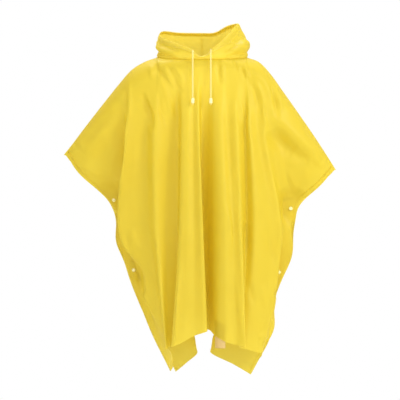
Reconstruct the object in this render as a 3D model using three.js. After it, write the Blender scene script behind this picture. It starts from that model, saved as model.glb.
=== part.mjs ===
// Hooded rain poncho for a child, in thin yellow film, filled out as it is worn.
// Millimetres. +X is the viewer's right, +Y points away from the viewer, +Z is up.
// The origin is the middle of the neck opening, at the height of the neck seam.
import * as THREE from "three";

// Driving dimensions
const WALL = 1.2; // film with its air, drawn as one wall
const SEAM_GAP = 0.3; // between pieces that touch
const NECK_WIDTH = 242;
const NECK_DEPTH = 170;
const NECK_SHARE = 0.24; // share of each half width that the neck cut takes
const NECK_DROP = 28; // how far the middle of a panel comes down before it hangs
const YOKE = 0.1; // share of the panel's length that rounds over the shoulder
const CHEST = 0.28; // shares of the length at which the fold tables are read
const HIP = 0.62;
const YOKE_LEAN = 0.2; // how far a fold has moved towards its chest place at the yoke
const SNAP_DIAMETER = 10;
const SNAP_CAP = 1.6; // height of a snap's cap
const SNAP_LINE = 15; // distance of the snaps from the side edge
const SNAP_REST = 3.4; // half the distance between the two panels at a snap
const SNAP_SOCKET = 8; // diameter of the socket between the panels
const SNAP_HOLD = 24; // the panels lie together within this distance of a snap
const SNAP_FREE = 62; // and hang freely beyond this one
const HOLD_FROM = 0.35; // share of the half width where a snap begins to hold the panels
const HOLD_FULL = 0.66;
const CORD_DIAMETER = 4;
const CORD_STEP = 2.5 * CORD_DIAMETER;
const BEAD_DIAMETER = 9;
const BEAD_LENGTH = 15;
const CASING_WALL = 1;
const HOOD_RISE = 2.0; // the hood's lower edge stands this far over the middle of the panels' wall

const FILM = { color: 0xeece40, roughness: 0.35, metalness: 0 };
const PALE_PLASTIC = { color: 0xf7ecae, roughness: 0.4, metalness: 0 };
const PALE_CORD = { color: 0xfaf2c4, roughness: 0.85, metalness: 0 };
const LABEL = { color: 0xf0d890, roughness: 0.6, metalness: 0 };

function table(columns, rows) {
  return rows.map((row) =>
    Object.fromEntries(columns.map((name, i) => [name, row[i]])),
  );
}

// The top edge of both panels from the neck to the tip over the hand. across runs from 0 at the
// middle to 1 at the tip, depth is how far the cloth stands out under the edge, and drop how far
// it comes down before it hangs.
const topEdge = table(
  ["across", "leftX", "leftZ", "rightX", "rightZ", "depth", "drop"],
  [
    [0.24, -121, 4, 121, 4, 90, 46],
    [0.31, -156, -8, 156, -9, 89, 54],
    [0.4, -192, -30, 189, -43, 84, 58],
    [0.5, -226, -67, 220, -86, 74, 50],
    [0.63, -267, -118, 260, -142, 60, 40],
    [0.8, -320, -186, 311, -216, 39, 29],
    [0.92, -356, -234, 346, -270, 22, 22],
    [1.0, -380, -264, 368, -305, 8, 18],
  ],
);

// One row for each fold line, from the left side edge to the right one. x is where it lies and out
// how far it stands before (front) or behind (back) the middle plane, at chest, hip and hem.
const foldColumns = [
  ...["across", "chestX", "chestOut", "hipX", "hipOut"],
  ...["hemX", "hemOut", "hemZ"],
];
const frontFolds = table(foldColumns, [
  [-1.0, -249, 4, -192, 3, -86, 8, -858],
  [-0.84, -238, 24, -182, 8, -79, 34, -845],
  [-0.68, -222, 42, -192, 20, -79, 60, -826],
  [-0.52, -196, 50, -198, 36, -82, 82, -806],
  [-0.415, -209, 88, -223, 58, -86, 96, -794],
  [-0.355, -180, 78, -190, 64, -92, 106, -789],
  [-0.304, -151, 76, -146, 76, -98, 110, -786],
  [-0.24, -127, 100, -124, 100, -96, 120, -784],
  [-0.13, -90, 84, -96, 86, -86, 110, -782],
  [-0.1, -64, 82, -64, 84, -54, 96, -774],
  [-0.072, -56, 108, -62, 120, -82, 136, -782],
  [-0.046, -38, 115, -42, 127, -52, 141, -768],
  [-0.03, -24, 110, -22, 121, -22, 134, -752],
  [-0.014, -8, 117, 2, 130, 14, 133, -739],
  [0.003, -3, 84, -8, 64, -4, 58, -737],
  [0.022, 14, 85, 12, 60, 20, 48, -742],
  [0.045, 32, 104, 34, 106, 34, 106, -752],
  [0.068, 52, 112, 61, 124, 62, 124, -768],
  [0.093, 70, 102, 84, 112, 90, 121, -776],
  [0.136, 94, 110, 106, 117, 116, 130, -781],
  [0.19, 116, 92, 120, 80, 100, 96, -785],
  [0.24, 130, 107, 145, 96, 122, 84, -792],
  [0.305, 151, 91, 190, 66, 146, 68, -800],
  [0.345, 172, 90, 214, 54, 160, 56, -804],
  [0.42, 194, 73, 212, 34, 163, 42, -808],
  [0.58, 220, 52, 200, 18, 162, 28, -814],
  [0.8, 240, 26, 192, 7, 158, 16, -820],
  [1.0, 260, 4, 213, 3, 152, 6, -828],
]);
const backFolds = table(foldColumns, [
  [-1.0, -251, 4, -195, 4, -72, 10, -861],
  [-0.86, -240, 24, -184, 22, -44, 30, -838],
  [-0.72, -222, 44, -150, 48, -16, 54, -808],
  [-0.58, -214, 68, -162, 76, -64, 84, -782],
  [-0.46, -204, 84, -178, 98, -112, 104, -764],
  [-0.38, -178, 76, -150, 86, -100, 84, -752],
  [-0.3, -150, 96, -124, 112, -78, 118, -744],
  [-0.24, -120, 86, -98, 92, -60, 86, -738],
  [-0.15, -92, 104, -70, 120, -38, 128, -732],
  [-0.08, -56, 96, -42, 98, -16, 88, -728],
  [0.0, -14, 110, -8, 126, 8, 132, -726],
  [0.08, 24, 98, 22, 98, 30, 92, -727],
  [0.15, 60, 108, 50, 124, 54, 130, -731],
  [0.24, 96, 90, 82, 94, 78, 88, -737],
  [0.31, 130, 102, 116, 116, 106, 120, -744],
  [0.39, 158, 80, 148, 88, 124, 86, -752],
  [0.48, 190, 86, 186, 98, 150, 104, -766],
  [0.6, 212, 66, 178, 74, 98, 80, -786],
  [0.74, 234, 46, 172, 50, 26, 56, -808],
  [0.87, 252, 26, 200, 26, 84, 34, -842],
  [1.0, 263, 4, 206, 4, 129, 14, -869],
]);

// Places where a panel is pushed out of its folds: fold and down are the middle, reach its spread.
const tuckColumns = ["fold", "foldReach", "down", "downReach", "x", "out"];
const frontTucks = table(tuckColumns, [
  [0, 1.6, 0.17, 0.06, 0, 13],
  [0, 3.0, 0.17, 0.08, -14, 0],
  [0, 1.0, 0.36, 0.04, 26, 3],
  [27, 1.6, 0.17, 0.06, 0, 13],
  [27, 3.0, 0.22, 0.06, -13, 0],
  [27, 2.5, 0.47, 0.1, 18, 0],
  [27, 4.0, 0.85, 0.09, 21, 0],
  [0, 3.0, 0.85, 0.12, -5, 0],
  [0, 2.6, 0.44, 0.07, -13, 0],
]);
const backTucks = table(tuckColumns, [
  [0, 1.6, 0.17, 0.06, 0, 13],
  [0, 3.0, 0.17, 0.08, -14, 0],
  [2, 1.2, 0.92, 0.06, 20, 0],
  [18, 1.2, 0.92, 0.06, -26, 0],
  [20, 1.6, 0.17, 0.06, 0, 13],
  [20, 3.0, 0.22, 0.06, -13, 0],
  [20, 2.5, 0.46, 0.1, 18, 0],
  [20, 2.0, 0.84, 0.09, 23, 0],
  [0, 2.0, 0.82, 0.12, -5, 0],
  [0, 2.0, 0.44, 0.07, -15, 0],
]);

const snapHeights = table(
  ["name", "side", "z"],
  [
    ["snap_left_1", -1, -388],
    ["snap_left_2", -1, -580],
    ["snap_right_1", 1, -411],
    ["snap_right_2", 1, -586],
  ],
);

const front = {
  folds: frontFolds,
  tucks: frontTucks,
  facing: -1,
  neckMiddleZ: -8,
  neckMiddleOut: 102,
};
const back = {
  folds: backFolds,
  tucks: backTucks,
  facing: 1,
  neckMiddleZ: 15,
  neckMiddleOut: 104,
};

// The hood lies open round the neck. turn goes round the neck from the middle of the front, rim is
// the face edge, and bulge how far the wall swells between the neck and the rim.
const hoodSections = table(
  ["turn", "rimX", "rimY", "rimZ", "bulge"],
  [
    [-180, 0, 104, 80, 0],
    [-150, -64, 94, 80, 2],
    [-125, -105, 58, 81, 3],
    [-100, -116, 16, 69, 4],
    [-75, -104, -26, 54, 9],
    [-45, -66, -66, 36, 8],
    [-20, -25, -88, 17, 3],
    [0, 0, -91, 4, 0],
    [20, 24, -88, 18, 3],
    [45, 53, -66, 43, 9],
    [70, 74, -34, 68, 16],
    [92, 90, -2, 90, 17],
    [110, 98, 30, 100, 17],
    [135, 70, 74, 97, 8],
    [158, 36, 97, 81, 2],
  ],
);
// The pouch that falls behind the neck, from the neck seam down, round its foot and up to the rim.
const pouchPath = table(
  ["y", "z"],
  [
    [85, 15],
    [108, 12],
    [124, -24],
    [128, -78],
    [130, -122],
    [146, -138],
    [160, -112],
    [162, -40],
    [154, 20],
    [132, 66],
    [104, 80],
  ],
);
const POUCH_SPREAD = 0.42; // how much wider than the neck the pouch lies
const POUCH_FROM = 100; // turn at which the pouch begins
const POUCH_FULL = 145; // and at which it has its full spread
const POUCH_DEEPENS = 132; // turn at which it begins to hang
const POUCH_DEEP = 168;
const SWELL_SKEW = 0.66; // under 1, the side of the hood swells nearest to the neck
const CASING_START = 0.86; // where the casing begins on the way from the neck to the rim

// Hand-laid routes of the two free ends of the drawcord, from the casing down to the bead
const cordRoutes = {
  drawcord_left: [
    [-25, -92, 16.4],
    [-25, -98, 8],
    [-25, -105, -4],
    [-25, -111, -22],
    [-25, -115, -44],
    [-25, -117, -68],
    [-25, -118, -92],
    [-25, -118, -113],
  ],
  drawcord_right: [
    [23.5, -92.1, 18.8],
    [23.5, -98, 9],
    [23.5, -105, -4],
    [23.5, -110, -22],
    [23.5, -112, -44],
    [23.5, -113, -68],
    [23.5, -113, -92],
    [23.5, -113, -113],
  ],
};

const lerp = THREE.MathUtils.lerp;
const smoothstep = THREE.MathUtils.smoothstep;

// A smooth curve through evenly spaced values, read at the place t counted in values
function alongValues(values, t) {
  const last = values.length - 1;
  const i = Math.min(Math.max(Math.floor(t), 0), last - 1);
  const s = t - i;
  const at = (j) => values[Math.min(Math.max(j, 0), last)];
  const slopeIn = (at(i + 1) - at(i - 1)) / 2;
  const slopeOut = (at(i + 2) - at(i)) / 2;
  return hermite(at(i), at(i + 1), slopeIn, slopeOut, s);
}

function hermite(from, to, slopeIn, slopeOut, s) {
  const s2 = s * s;
  const s3 = s2 * s;
  return (
    (2 * s3 - 3 * s2 + 1) * from +
    (s3 - 2 * s2 + s) * slopeIn +
    (3 * s2 - 2 * s3) * to +
    (s3 - s2) * slopeOut
  );
}

// A smooth curve through values at uneven places; flatStart makes it leave the first one level
function alongPlaces(places, values, t, flatStart = false) {
  const last = places.length - 1;
  let i = 0;
  while (i < last - 1 && t > places[i + 1]) i += 1;
  const span = places[i + 1] - places[i];
  const slope = (j) => {
    if (j === 0 && flatStart) return 0;
    const before = Math.max(j - 1, 0);
    const after = Math.min(j + 1, last);
    return (values[after] - values[before]) / (places[after] - places[before]);
  };
  const s = (t - places[i]) / span;
  return hermite(
    values[i],
    values[i + 1],
    slope(i) * span,
    slope(i + 1) * span,
    s,
  );
}

// The panel's top edge at a place across: the neck cut near the middle, the shoulder beyond it
function topOf(panel, across) {
  const side = Math.sign(across) || 1;
  const away = Math.abs(across);
  const first = topEdge[0];
  if (away <= NECK_SHARE) {
    const angle = (away / NECK_SHARE) * (Math.PI / 2);
    const toMiddle = Math.cos(angle);
    return {
      x: (side * NECK_WIDTH * Math.sin(angle)) / 2,
      out: Math.max((NECK_DEPTH * toMiddle) / 2, SEAM_GAP / 2),
      z: lerp(side < 0 ? first.leftZ : first.rightZ, panel.neckMiddleZ, toMiddle),
      depth: lerp(first.depth, panel.neckMiddleOut, toMiddle),
      drop: lerp(first.drop, NECK_DROP, toMiddle),
    };
  }
  const places = topEdge.map((row) => row.across);
  const read = (name) =>
    alongPlaces(
      places,
      topEdge.map((row) => row[name]),
      away,
    );
  return {
    x: read(side < 0 ? "leftX" : "rightX"),
    out: SEAM_GAP / 2,
    z: read(side < 0 ? "leftZ" : "rightZ"),
    depth: read("depth"),
    drop: read("drop"),
  };
}

function bell(distance) {
  return Math.exp(-distance * distance);
}

// A point of the panel's middle surface. fold counts the rows of its fold table, and down runs
// from 0 at the top edge to 1 at the hem.
function panelPoint(panel, fold, down, pinched = true) {
  const read = (name) =>
    alongValues(
      panel.folds.map((row) => row[name]),
      fold,
    );
  const i = Math.min(Math.floor(fold), panel.folds.length - 2);
  const across = lerp(
    panel.folds[i].across,
    panel.folds[i + 1].across,
    fold - i,
  );
  const top = topOf(panel, across);
  const yokeX = lerp(top.x, read("chestX"), YOKE_LEAN);
  let x = alongPlaces(
    [0, YOKE, CHEST, HIP, 1],
    [top.x, yokeX, read("chestX"), read("hipX"), read("hemX")],
    down,
  );
  let out;
  let z;
  if (down < YOKE) {
    const angle = (down / YOKE) * (Math.PI / 2);
    out = lerp(top.out, top.depth, Math.sin(angle));
    z = top.z - top.drop * (1 - Math.cos(angle));
  } else {
    out = alongPlaces(
      [YOKE, CHEST, HIP, 1],
      [top.depth, read("chestOut"), read("hipOut"), read("hemOut")],
      down,
      true,
    );
    z = lerp(top.z - top.drop, read("hemZ"), (down - YOKE) / (1 - YOKE));
  }
  for (const tuck of panel.tucks) {
    const weight =
      bell((fold - tuck.fold) / tuck.foldReach) *
      bell((down - tuck.down) / tuck.downReach);
    x += tuck.x * weight;
    out += tuck.out * weight;
  }
  if (pinched) {
    const nearEdge = smoothstep(Math.abs(across), HOLD_FROM, HOLD_FULL);
    for (const snap of snaps) {
      const distance = Math.hypot(x - snap.x, z - snap.z);
      const weight = nearEdge * (1 - smoothstep(distance, SNAP_HOLD, SNAP_FREE));
      out = lerp(out, SNAP_REST, weight);
    }
  }
  return new THREE.Vector3(x, panel.facing * out, z);
}

// Each snap sits on a line inside the side edge, at its own height
function placeSnap({ name, side, z }) {
  const edge = side < 0 ? 0 : front.folds.length - 1;
  let low = YOKE;
  let high = 1;
  while (high - low > 1e-4) {
    const middle = (low + high) / 2;
    if (panelPoint(front, edge, middle, false).z > z) low = middle;
    else high = middle;
  }
  const x = panelPoint(front, edge, low, false).x - side * SNAP_LINE;
  return { name, side, x, z };
}
const snaps = snapHeights.map(placeSnap);

// Normals of a grid of points, each the mean of the faces round it, on the left of columns x rows
function gridNormals(points, wraps = false) {
  const columns = points.length;
  const rows = points[0].length;
  const normals = points.map((line) => line.map(() => new THREE.Vector3()));
  const cells = wraps ? columns : columns - 1;
  for (let i = 0; i < cells; i += 1) {
    const next = (i + 1) % columns;
    for (let j = 0; j < rows - 1; j += 1) {
      const along = points[next][j + 1].clone().sub(points[i][j]);
      const other = points[next][j].clone().sub(points[i][j + 1]);
      const face = other.cross(along).multiplyScalar(-1);
      for (const [c, r] of [
        [i, j],
        [next, j],
        [i, j + 1],
        [next, j + 1],
      ])
        normals[c][r].add(face);
    }
  }
  for (const line of normals) for (const normal of line) normal.normalize();
  return normals;
}

// A closed wall about a grid of points: one skin on each side and a strip round the border
function wallGeometry(points, normals, thickness, flip) {
  const columns = points.length;
  const rows = points[0].length;
  const positions = [];
  for (const side of [0.5, -0.5])
    for (let i = 0; i < columns; i += 1)
      for (let j = 0; j < rows; j += 1) {
        const p = points[i][j]
          .clone()
          .addScaledVector(normals[i][j], side * thickness);
        positions.push(p.x, p.y, p.z);
      }
  const outer = (i, j) => i * rows + j;
  const inner = (i, j) => columns * rows + i * rows + j;
  const index = [];
  const quad = (a, b, c, d) => {
    if (flip) index.push(a, c, b, a, d, c);
    else index.push(a, b, c, a, c, d);
  };
  for (let i = 0; i < columns - 1; i += 1)
    for (let j = 0; j < rows - 1; j += 1) {
      quad(outer(i, j), outer(i, j + 1), outer(i + 1, j + 1), outer(i + 1, j));
      quad(inner(i, j), inner(i + 1, j), inner(i + 1, j + 1), inner(i, j + 1));
    }
  for (let i = 0; i < columns - 1; i += 1) {
    const end = rows - 1;
    quad(outer(i, 0), outer(i + 1, 0), inner(i + 1, 0), inner(i, 0));
    quad(outer(i, end), inner(i, end), inner(i + 1, end), outer(i + 1, end));
  }
  for (let j = 0; j < rows - 1; j += 1) {
    const end = columns - 1;
    quad(outer(0, j), inner(0, j), inner(0, j + 1), outer(0, j + 1));
    quad(outer(end, j), outer(end, j + 1), inner(end, j + 1), inner(end, j));
  }
  const geometry = new THREE.BufferGeometry();
  geometry.setAttribute(
    "position",
    new THREE.Float32BufferAttribute(positions, 3),
  );
  geometry.setIndex(index);
  geometry.computeVertexNormals();
  return geometry;
}

const poncho = new THREE.Group();

function addPiece(name, geometry, finish) {
  const mesh = new THREE.Mesh(
    geometry,
    new THREE.MeshStandardMaterial({ ...finish, side: THREE.DoubleSide }),
  );
  mesh.name = name;
  poncho.add(mesh);
  return mesh;
}

// Front and back panels
const downRows = [
  ...[0, 0.012, 0.03, 0.06, 0.1, 0.15, 0.2, 0.25, 0.3, 0.35, 0.41],
  ...[0.47, 0.53, 0.59, 0.65, 0.71, 0.77, 0.83, 0.89, 0.945, 1],
];

function panelGrid(panel) {
  const last = panel.folds.length - 1;
  const foldPlaces = [0, 0.25];
  for (let fold = 0.5; fold < last; fold += 0.5) foldPlaces.push(fold);
  foldPlaces.push(last - 0.25, last);
  foldPlaces.sort((a, b) => a - b);
  const points = foldPlaces.map((fold) =>
    downRows.map((down) => panelPoint(panel, fold, down)),
  );
  const normals = gridNormals(points);
  for (const line of normals)
    for (const normal of line) normal.multiplyScalar(-panel.facing);
  // At the shoulder seam both panels end in an upright face, so that they meet edge to edge
  points.forEach((line, i) => {
    if (Math.abs(line[0].y) < SEAM_GAP) normals[i][0].setY(0).normalize();
  });
  return { foldPlaces, points, normals };
}

const frontGrid = panelGrid(front);
const backGrid = panelGrid(back);
const frontMesh = addPiece(
  "front",
  wallGeometry(frontGrid.points, frontGrid.normals, WALL, false),
  FILM,
);
const backMesh = addPiece(
  "back",
  wallGeometry(backGrid.points, backGrid.normals, WALL, true),
  FILM,
);

// Hood
function neckPoint(turn) {
  const angle = THREE.MathUtils.degToRad(turn);
  const toMiddle = Math.abs(Math.cos(angle));
  const middleZ = Math.cos(angle) > 0 ? front.neckMiddleZ : back.neckMiddleZ;
  return new THREE.Vector3(
    (NECK_WIDTH / 2) * Math.sin(angle),
    (-NECK_DEPTH / 2) * Math.cos(angle),
    lerp(topEdge[0].leftZ, middleZ, toMiddle) + HOOD_RISE,
  );
}

function outwardAt(turn) {
  const angle = THREE.MathUtils.degToRad(turn);
  return new THREE.Vector3(
    Math.sin(angle) / NECK_WIDTH,
    -Math.cos(angle) / NECK_DEPTH,
    0,
  ).normalize();
}

// The rim table is read round and round, so it closes on itself
function rimAt(turn) {
  const places = hoodSections.map((row) => row.turn);
  const wrap = (row, shift) => ({ ...row, turn: row.turn + shift });
  const rows = [
    ...hoodSections.slice(-2).map((row) => wrap(row, -360)),
    ...hoodSections,
    ...hoodSections.slice(0, 2).map((row) => wrap(row, 360)),
  ];
  const at = turn < places[0] ? turn + 360 : turn;
  const read = (name) =>
    alongPlaces(
      rows.map((row) => row.turn),
      rows.map((row) => row[name]),
      at,
    );
  return {
    rim: new THREE.Vector3(read("rimX"), read("rimY"), read("rimZ")),
    bulge: read("bulge"),
  };
}

// A point of the hood's middle surface; way runs from 0 at the neck seam to 1 at the rim
function hoodPoint(turn, way) {
  const neck = neckPoint(turn);
  const { rim, bulge } = rimAt(turn);
  const swell = Math.sin(Math.PI * way ** SWELL_SKEW);
  const side = neck
    .clone()
    .lerp(rim, way)
    .addScaledVector(outwardAt(turn), bulge * swell);
  const t = way * (pouchPath.length - 1);
  const away = Math.abs(turn);
  const backness = smoothstep(away, POUCH_FROM, POUCH_FULL);
  const depth = smoothstep(away, POUCH_DEEPENS, POUCH_DEEP);
  const spread = 1 + POUCH_SPREAD * Math.sin(Math.PI * way);
  const pouchY = alongValues(
    pouchPath.map((row) => row.y),
    t,
  );
  const pouchZ = alongValues(
    pouchPath.map((row) => row.z),
    t,
  );
  const endY = lerp(neck.y, rim.y, way);
  const pouchEndY = lerp(pouchPath[0].y, pouchPath.at(-1).y, way);
  const endZ = lerp(neck.z, rim.z, way);
  const pouchEndZ = lerp(pouchPath[0].z, pouchPath.at(-1).z, way);
  return new THREE.Vector3(
    side.x * lerp(1, spread, backness),
    lerp(side.y, endY + pouchY - pouchEndY, backness),
    lerp(side.z, endZ + pouchZ - pouchEndZ, depth),
  );
}

const TURN_STEP = 10;
const WAY_STEPS = 16;
const hoodTurns = [];
for (let turn = -180; turn < 180; turn += TURN_STEP) hoodTurns.push(turn);
const hoodWays = Array.from({ length: WAY_STEPS + 1 }, (_, i) => i / WAY_STEPS);
const hoodPoints = hoodTurns.map((turn) =>
  hoodWays.map((way) => hoodPoint(turn, way)),
);
const hoodNormals = gridNormals(hoodPoints, true).map((line) =>
  line.map((normal) => normal.negate()),
);

// One half of the ring of columns, with its two end columns drawn back from the seams
function hoodHalf(side, firstRow, lift) {
  const half = hoodTurns.length / 2;
  const start = side < 0 ? 0 : half;
  const columns = Array.from(
    { length: half + 1 },
    (_, i) => (start + i) % hoodTurns.length,
  );
  const points = columns.map((column, i) => {
    const atSeam = i === 0 || i === half;
    return hoodPoints[column].slice(firstRow).map((point, j) => {
      const moved = point
        .clone()
        .addScaledVector(hoodNormals[column][firstRow + j], lift);
      if (atSeam) moved.x += (side * SEAM_GAP) / 2;
      return moved;
    });
  });
  const normals = columns.map((column) => hoodNormals[column].slice(firstRow));
  return { points, normals };
}

const casingLift = WALL / 2 + SEAM_GAP + CASING_WALL / 2;
const casingRow = Math.round(CASING_START * WAY_STEPS);
for (const [suffix, side] of [
  ["left", -1],
  ["right", 1],
]) {
  const cloth = hoodHalf(side, 0, 0);
  addPiece(
    `hood_${suffix}`,
    wallGeometry(cloth.points, cloth.normals, WALL, true),
    FILM,
  );
  const casing = hoodHalf(side, casingRow, casingLift);
  addPiece(
    `casing_${suffix}`,
    wallGeometry(casing.points, casing.normals, CASING_WALL, true),
    FILM,
  );
}

// Drawcord and its beads
function ringShape(radius, sides) {
  const shape = new THREE.Shape();
  for (let i = 0; i < sides; i += 1) {
    const angle = (i / sides) * 2 * Math.PI;
    shape[i ? "lineTo" : "moveTo"](
      radius * Math.cos(angle),
      radius * Math.sin(angle),
    );
  }
  shape.closePath();
  return shape;
}

// A turned piece on a line through z, given as rows of radius and height
function turnedPiece(rows, sides) {
  return new THREE.LatheGeometry(
    rows.map(([radius, height]) => new THREE.Vector2(radius, height)),
    sides,
  );
}

for (const [name, route] of Object.entries(cordRoutes)) {
  const path = new THREE.CatmullRomCurve3(
    route.map((point) => new THREE.Vector3(...point)),
  );
  const steps = Math.round(path.getLength() / CORD_STEP);
  const cord = new THREE.ExtrudeGeometry(ringShape(CORD_DIAMETER / 2, 8), {
    steps,
    bevelEnabled: false,
    extrudePath: path,
  });
  addPiece(name, cord, PALE_CORD);
  const radius = BEAD_DIAMETER / 2;
  const bead = turnedPiece(
    [
      [0, -BEAD_LENGTH - 5],
      [1.6, -BEAD_LENGTH - 4.4],
      [2.4, -BEAD_LENGTH - 2.6],
      [1.8, -BEAD_LENGTH - 0.6],
      [radius * 0.8, -BEAD_LENGTH],
      [radius, -BEAD_LENGTH + 1.6],
      [radius, -4],
      [radius * 0.86, -1.4],
      [radius * 0.6, 0],
      [0, 0],
    ],
    14,
  );
  bead.rotateX(Math.PI / 2);
  const [x, y, z] = route.at(-1);
  bead.translate(x, y, z - SEAM_GAP);
  addPiece(name.replace("drawcord", "cord_end"), bead, PALE_PLASTIC);
}

// Snaps: a cap on each panel and a socket between them
const ray = new THREE.Raycaster();

const RAY_START = -400; // in front of the whole garment
const RIM_RAYS = 12;

// The highest and lowest y of a panel's wall under a snap's rim
function wallReach(mesh, snap) {
  const found = [];
  for (let i = 0; i <= RIM_RAYS; i += 1) {
    const angle = (i / RIM_RAYS) * 2 * Math.PI;
    const radius = i === RIM_RAYS ? 0 : SNAP_DIAMETER / 2 + SEAM_GAP;
    const from = new THREE.Vector3(
      snap.x + radius * Math.cos(angle),
      RAY_START,
      snap.z + radius * Math.sin(angle),
    );
    ray.set(from, new THREE.Vector3(0, 1, 0));
    for (const hit of ray.intersectObject(mesh))
      if (Math.abs(hit.point.y) < 3 * SNAP_REST) found.push(hit.point.y);
  }
  return [Math.min(...found), Math.max(...found)];
}

function snapCap(y, facing) {
  const radius = SNAP_DIAMETER / 2;
  const cap = turnedPiece(
    [
      [0, 0],
      [radius, 0],
      [radius, SNAP_CAP * 0.4],
      [radius * 0.8, SNAP_CAP * 0.85],
      [radius * 0.35, SNAP_CAP],
      [0, SNAP_CAP],
    ],
    16,
  );
  if (facing < 0) cap.rotateX(Math.PI);
  cap.translate(0, y, 0);
  return cap;
}

poncho.updateMatrixWorld(true);
for (const snap of snaps) {
  const [frontLow, frontHigh] = wallReach(frontMesh, snap);
  const [backLow, backHigh] = wallReach(backMesh, snap);
  const pieces = {
    cap: snapCap(frontLow - SEAM_GAP, -1),
    back: snapCap(backHigh + SEAM_GAP, 1),
  };
  const socketFrom = frontHigh + SEAM_GAP;
  const socketTo = backLow - SEAM_GAP;
  pieces.socket = new THREE.CylinderGeometry(
    SNAP_SOCKET / 2,
    SNAP_SOCKET / 2,
    socketTo - socketFrom,
    16,
  );
  pieces.socket.translate(0, (socketFrom + socketTo) / 2, 0);
  for (const [suffix, geometry] of Object.entries(pieces)) {
    geometry.translate(snap.x, 0, snap.z);
    addPiece(`${snap.name}_${suffix}`, geometry, PALE_PLASTIC);
  }
}

// The blank label: welded inside the front hem and hanging below it, on the front's own facets
const LABEL_FIRST = 16;
const LABEL_LAST = 17;
const LABEL_FOOT = -795;
const labelLift = WALL / 2 + SEAM_GAP + CASING_WALL / 2;
const labelColumns = [];
frontGrid.foldPlaces.forEach((fold, i) => {
  if (fold >= LABEL_FIRST && fold <= LABEL_LAST) labelColumns.push(i);
});
const labelPoints = labelColumns.map((i) => {
  const line = frontGrid.points[i]
    .slice(-2)
    .map((point, j) =>
      point
        .clone()
        .addScaledVector(frontGrid.normals[i].slice(-2)[j], -labelLift),
    );
  const foot = line.at(-1).clone().setZ(LABEL_FOOT);
  return [...line, foot];
});
const labelGeometry = wallGeometry(
  labelPoints,
  gridNormals(labelPoints),
  CASING_WALL,
  false,
);
addPiece("hem_label", labelGeometry, LABEL);

export default poncho;
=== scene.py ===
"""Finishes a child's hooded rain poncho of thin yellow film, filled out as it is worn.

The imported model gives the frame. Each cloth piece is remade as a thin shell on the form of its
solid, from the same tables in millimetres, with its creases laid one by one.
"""

import math

import bpy
import numpy as np
from bpy.props import FloatProperty, FloatVectorProperty, IntProperty, PointerProperty
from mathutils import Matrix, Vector


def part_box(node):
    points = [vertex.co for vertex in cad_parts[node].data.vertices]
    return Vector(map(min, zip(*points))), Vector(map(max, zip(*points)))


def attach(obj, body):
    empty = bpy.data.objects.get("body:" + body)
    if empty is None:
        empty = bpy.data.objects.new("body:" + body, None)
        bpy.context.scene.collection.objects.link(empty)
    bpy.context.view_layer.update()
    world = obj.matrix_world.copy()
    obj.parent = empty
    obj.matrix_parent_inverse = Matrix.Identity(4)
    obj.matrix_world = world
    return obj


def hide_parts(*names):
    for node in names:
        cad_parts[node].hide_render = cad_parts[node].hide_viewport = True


bl_info = {
    "name": "Hooded Rain Poncho",
    "version": (1, 0, 0),
    "blender": (4, 5, 0),
    "location": "3D View > Sidebar > Poncho",
    "description": "Makes a filled-out rain poncho of thin film round its packed model",
    "category": "Object",
}

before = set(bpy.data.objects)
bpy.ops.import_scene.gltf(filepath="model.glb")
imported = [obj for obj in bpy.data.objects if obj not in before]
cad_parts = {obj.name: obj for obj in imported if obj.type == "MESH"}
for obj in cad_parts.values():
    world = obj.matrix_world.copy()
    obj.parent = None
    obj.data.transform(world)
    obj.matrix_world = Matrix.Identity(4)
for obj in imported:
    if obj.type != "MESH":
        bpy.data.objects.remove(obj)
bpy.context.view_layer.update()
ROOT = "root"
MM = 0.001
SHARP = math.radians(50)  # faces that meet at more than this keep a sharp edge


# Finishes

# Share of the light that comes through the film rather than off it
THROUGH_FILM = 0.56
THROUGH_DRAWN_FILM = 0.62
THROUGH_WELD = 0.72


def linear(hex_colour):
    """Turns an sRGB hex value into linear red, green and blue."""
    channels = [int(hex_colour[i : i + 2], 16) / 255 for i in (0, 2, 4)]
    return tuple(
        c / 12.92 if c <= 0.04045 else ((c + 0.055) / 1.055) ** 2.4 for c in channels
    )


def opaque(colour):
    return (*colour, 1.0)


def add_node(tree, kind, settings, inputs):
    """Adds a node. An input is set to a number or colour, or linked where it is given a socket."""
    made = tree.nodes.new(kind)
    for name, value in settings.items():
        setattr(made, name, value)
    for name, value in inputs.items():
        if isinstance(value, bpy.types.NodeSocket):
            tree.links.new(value, made.inputs[name])
        else:
            made.inputs[name].default_value = value
    return made


def new_material(name, look):
    """Makes a material. look(tree) gives the inputs of its Principled shader.

    It may also give light that comes through from behind, as (share, inputs of a Translucent one).
    """
    material = bpy.data.materials.new(name)
    material.use_nodes = True
    tree = material.node_tree
    tree.nodes.clear()
    face, through = look(tree)
    surface = add_node(tree, "ShaderNodeBsdfPrincipled", {}, face).outputs["BSDF"]
    if through:
        share, inputs = through
        behind = add_node(tree, "ShaderNodeBsdfTranslucent", {}, inputs)
        surface = add_node(
            tree,
            "ShaderNodeMixShader",
            {},
            {0: share, 1: surface, 2: behind.outputs["BSDF"]},
        ).outputs["Shader"]
    add_node(tree, "ShaderNodeOutputMaterial", {}, {"Surface": surface})
    return material


def per_metre(size_mm):
    """The texture scale that gives a noise of this real size."""
    return 1 / (size_mm * MM)


def waves(pitch_mm):
    """The wave texture's scale that puts its bands this far apart."""
    return math.pi / (10 * pitch_mm * MM)


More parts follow.
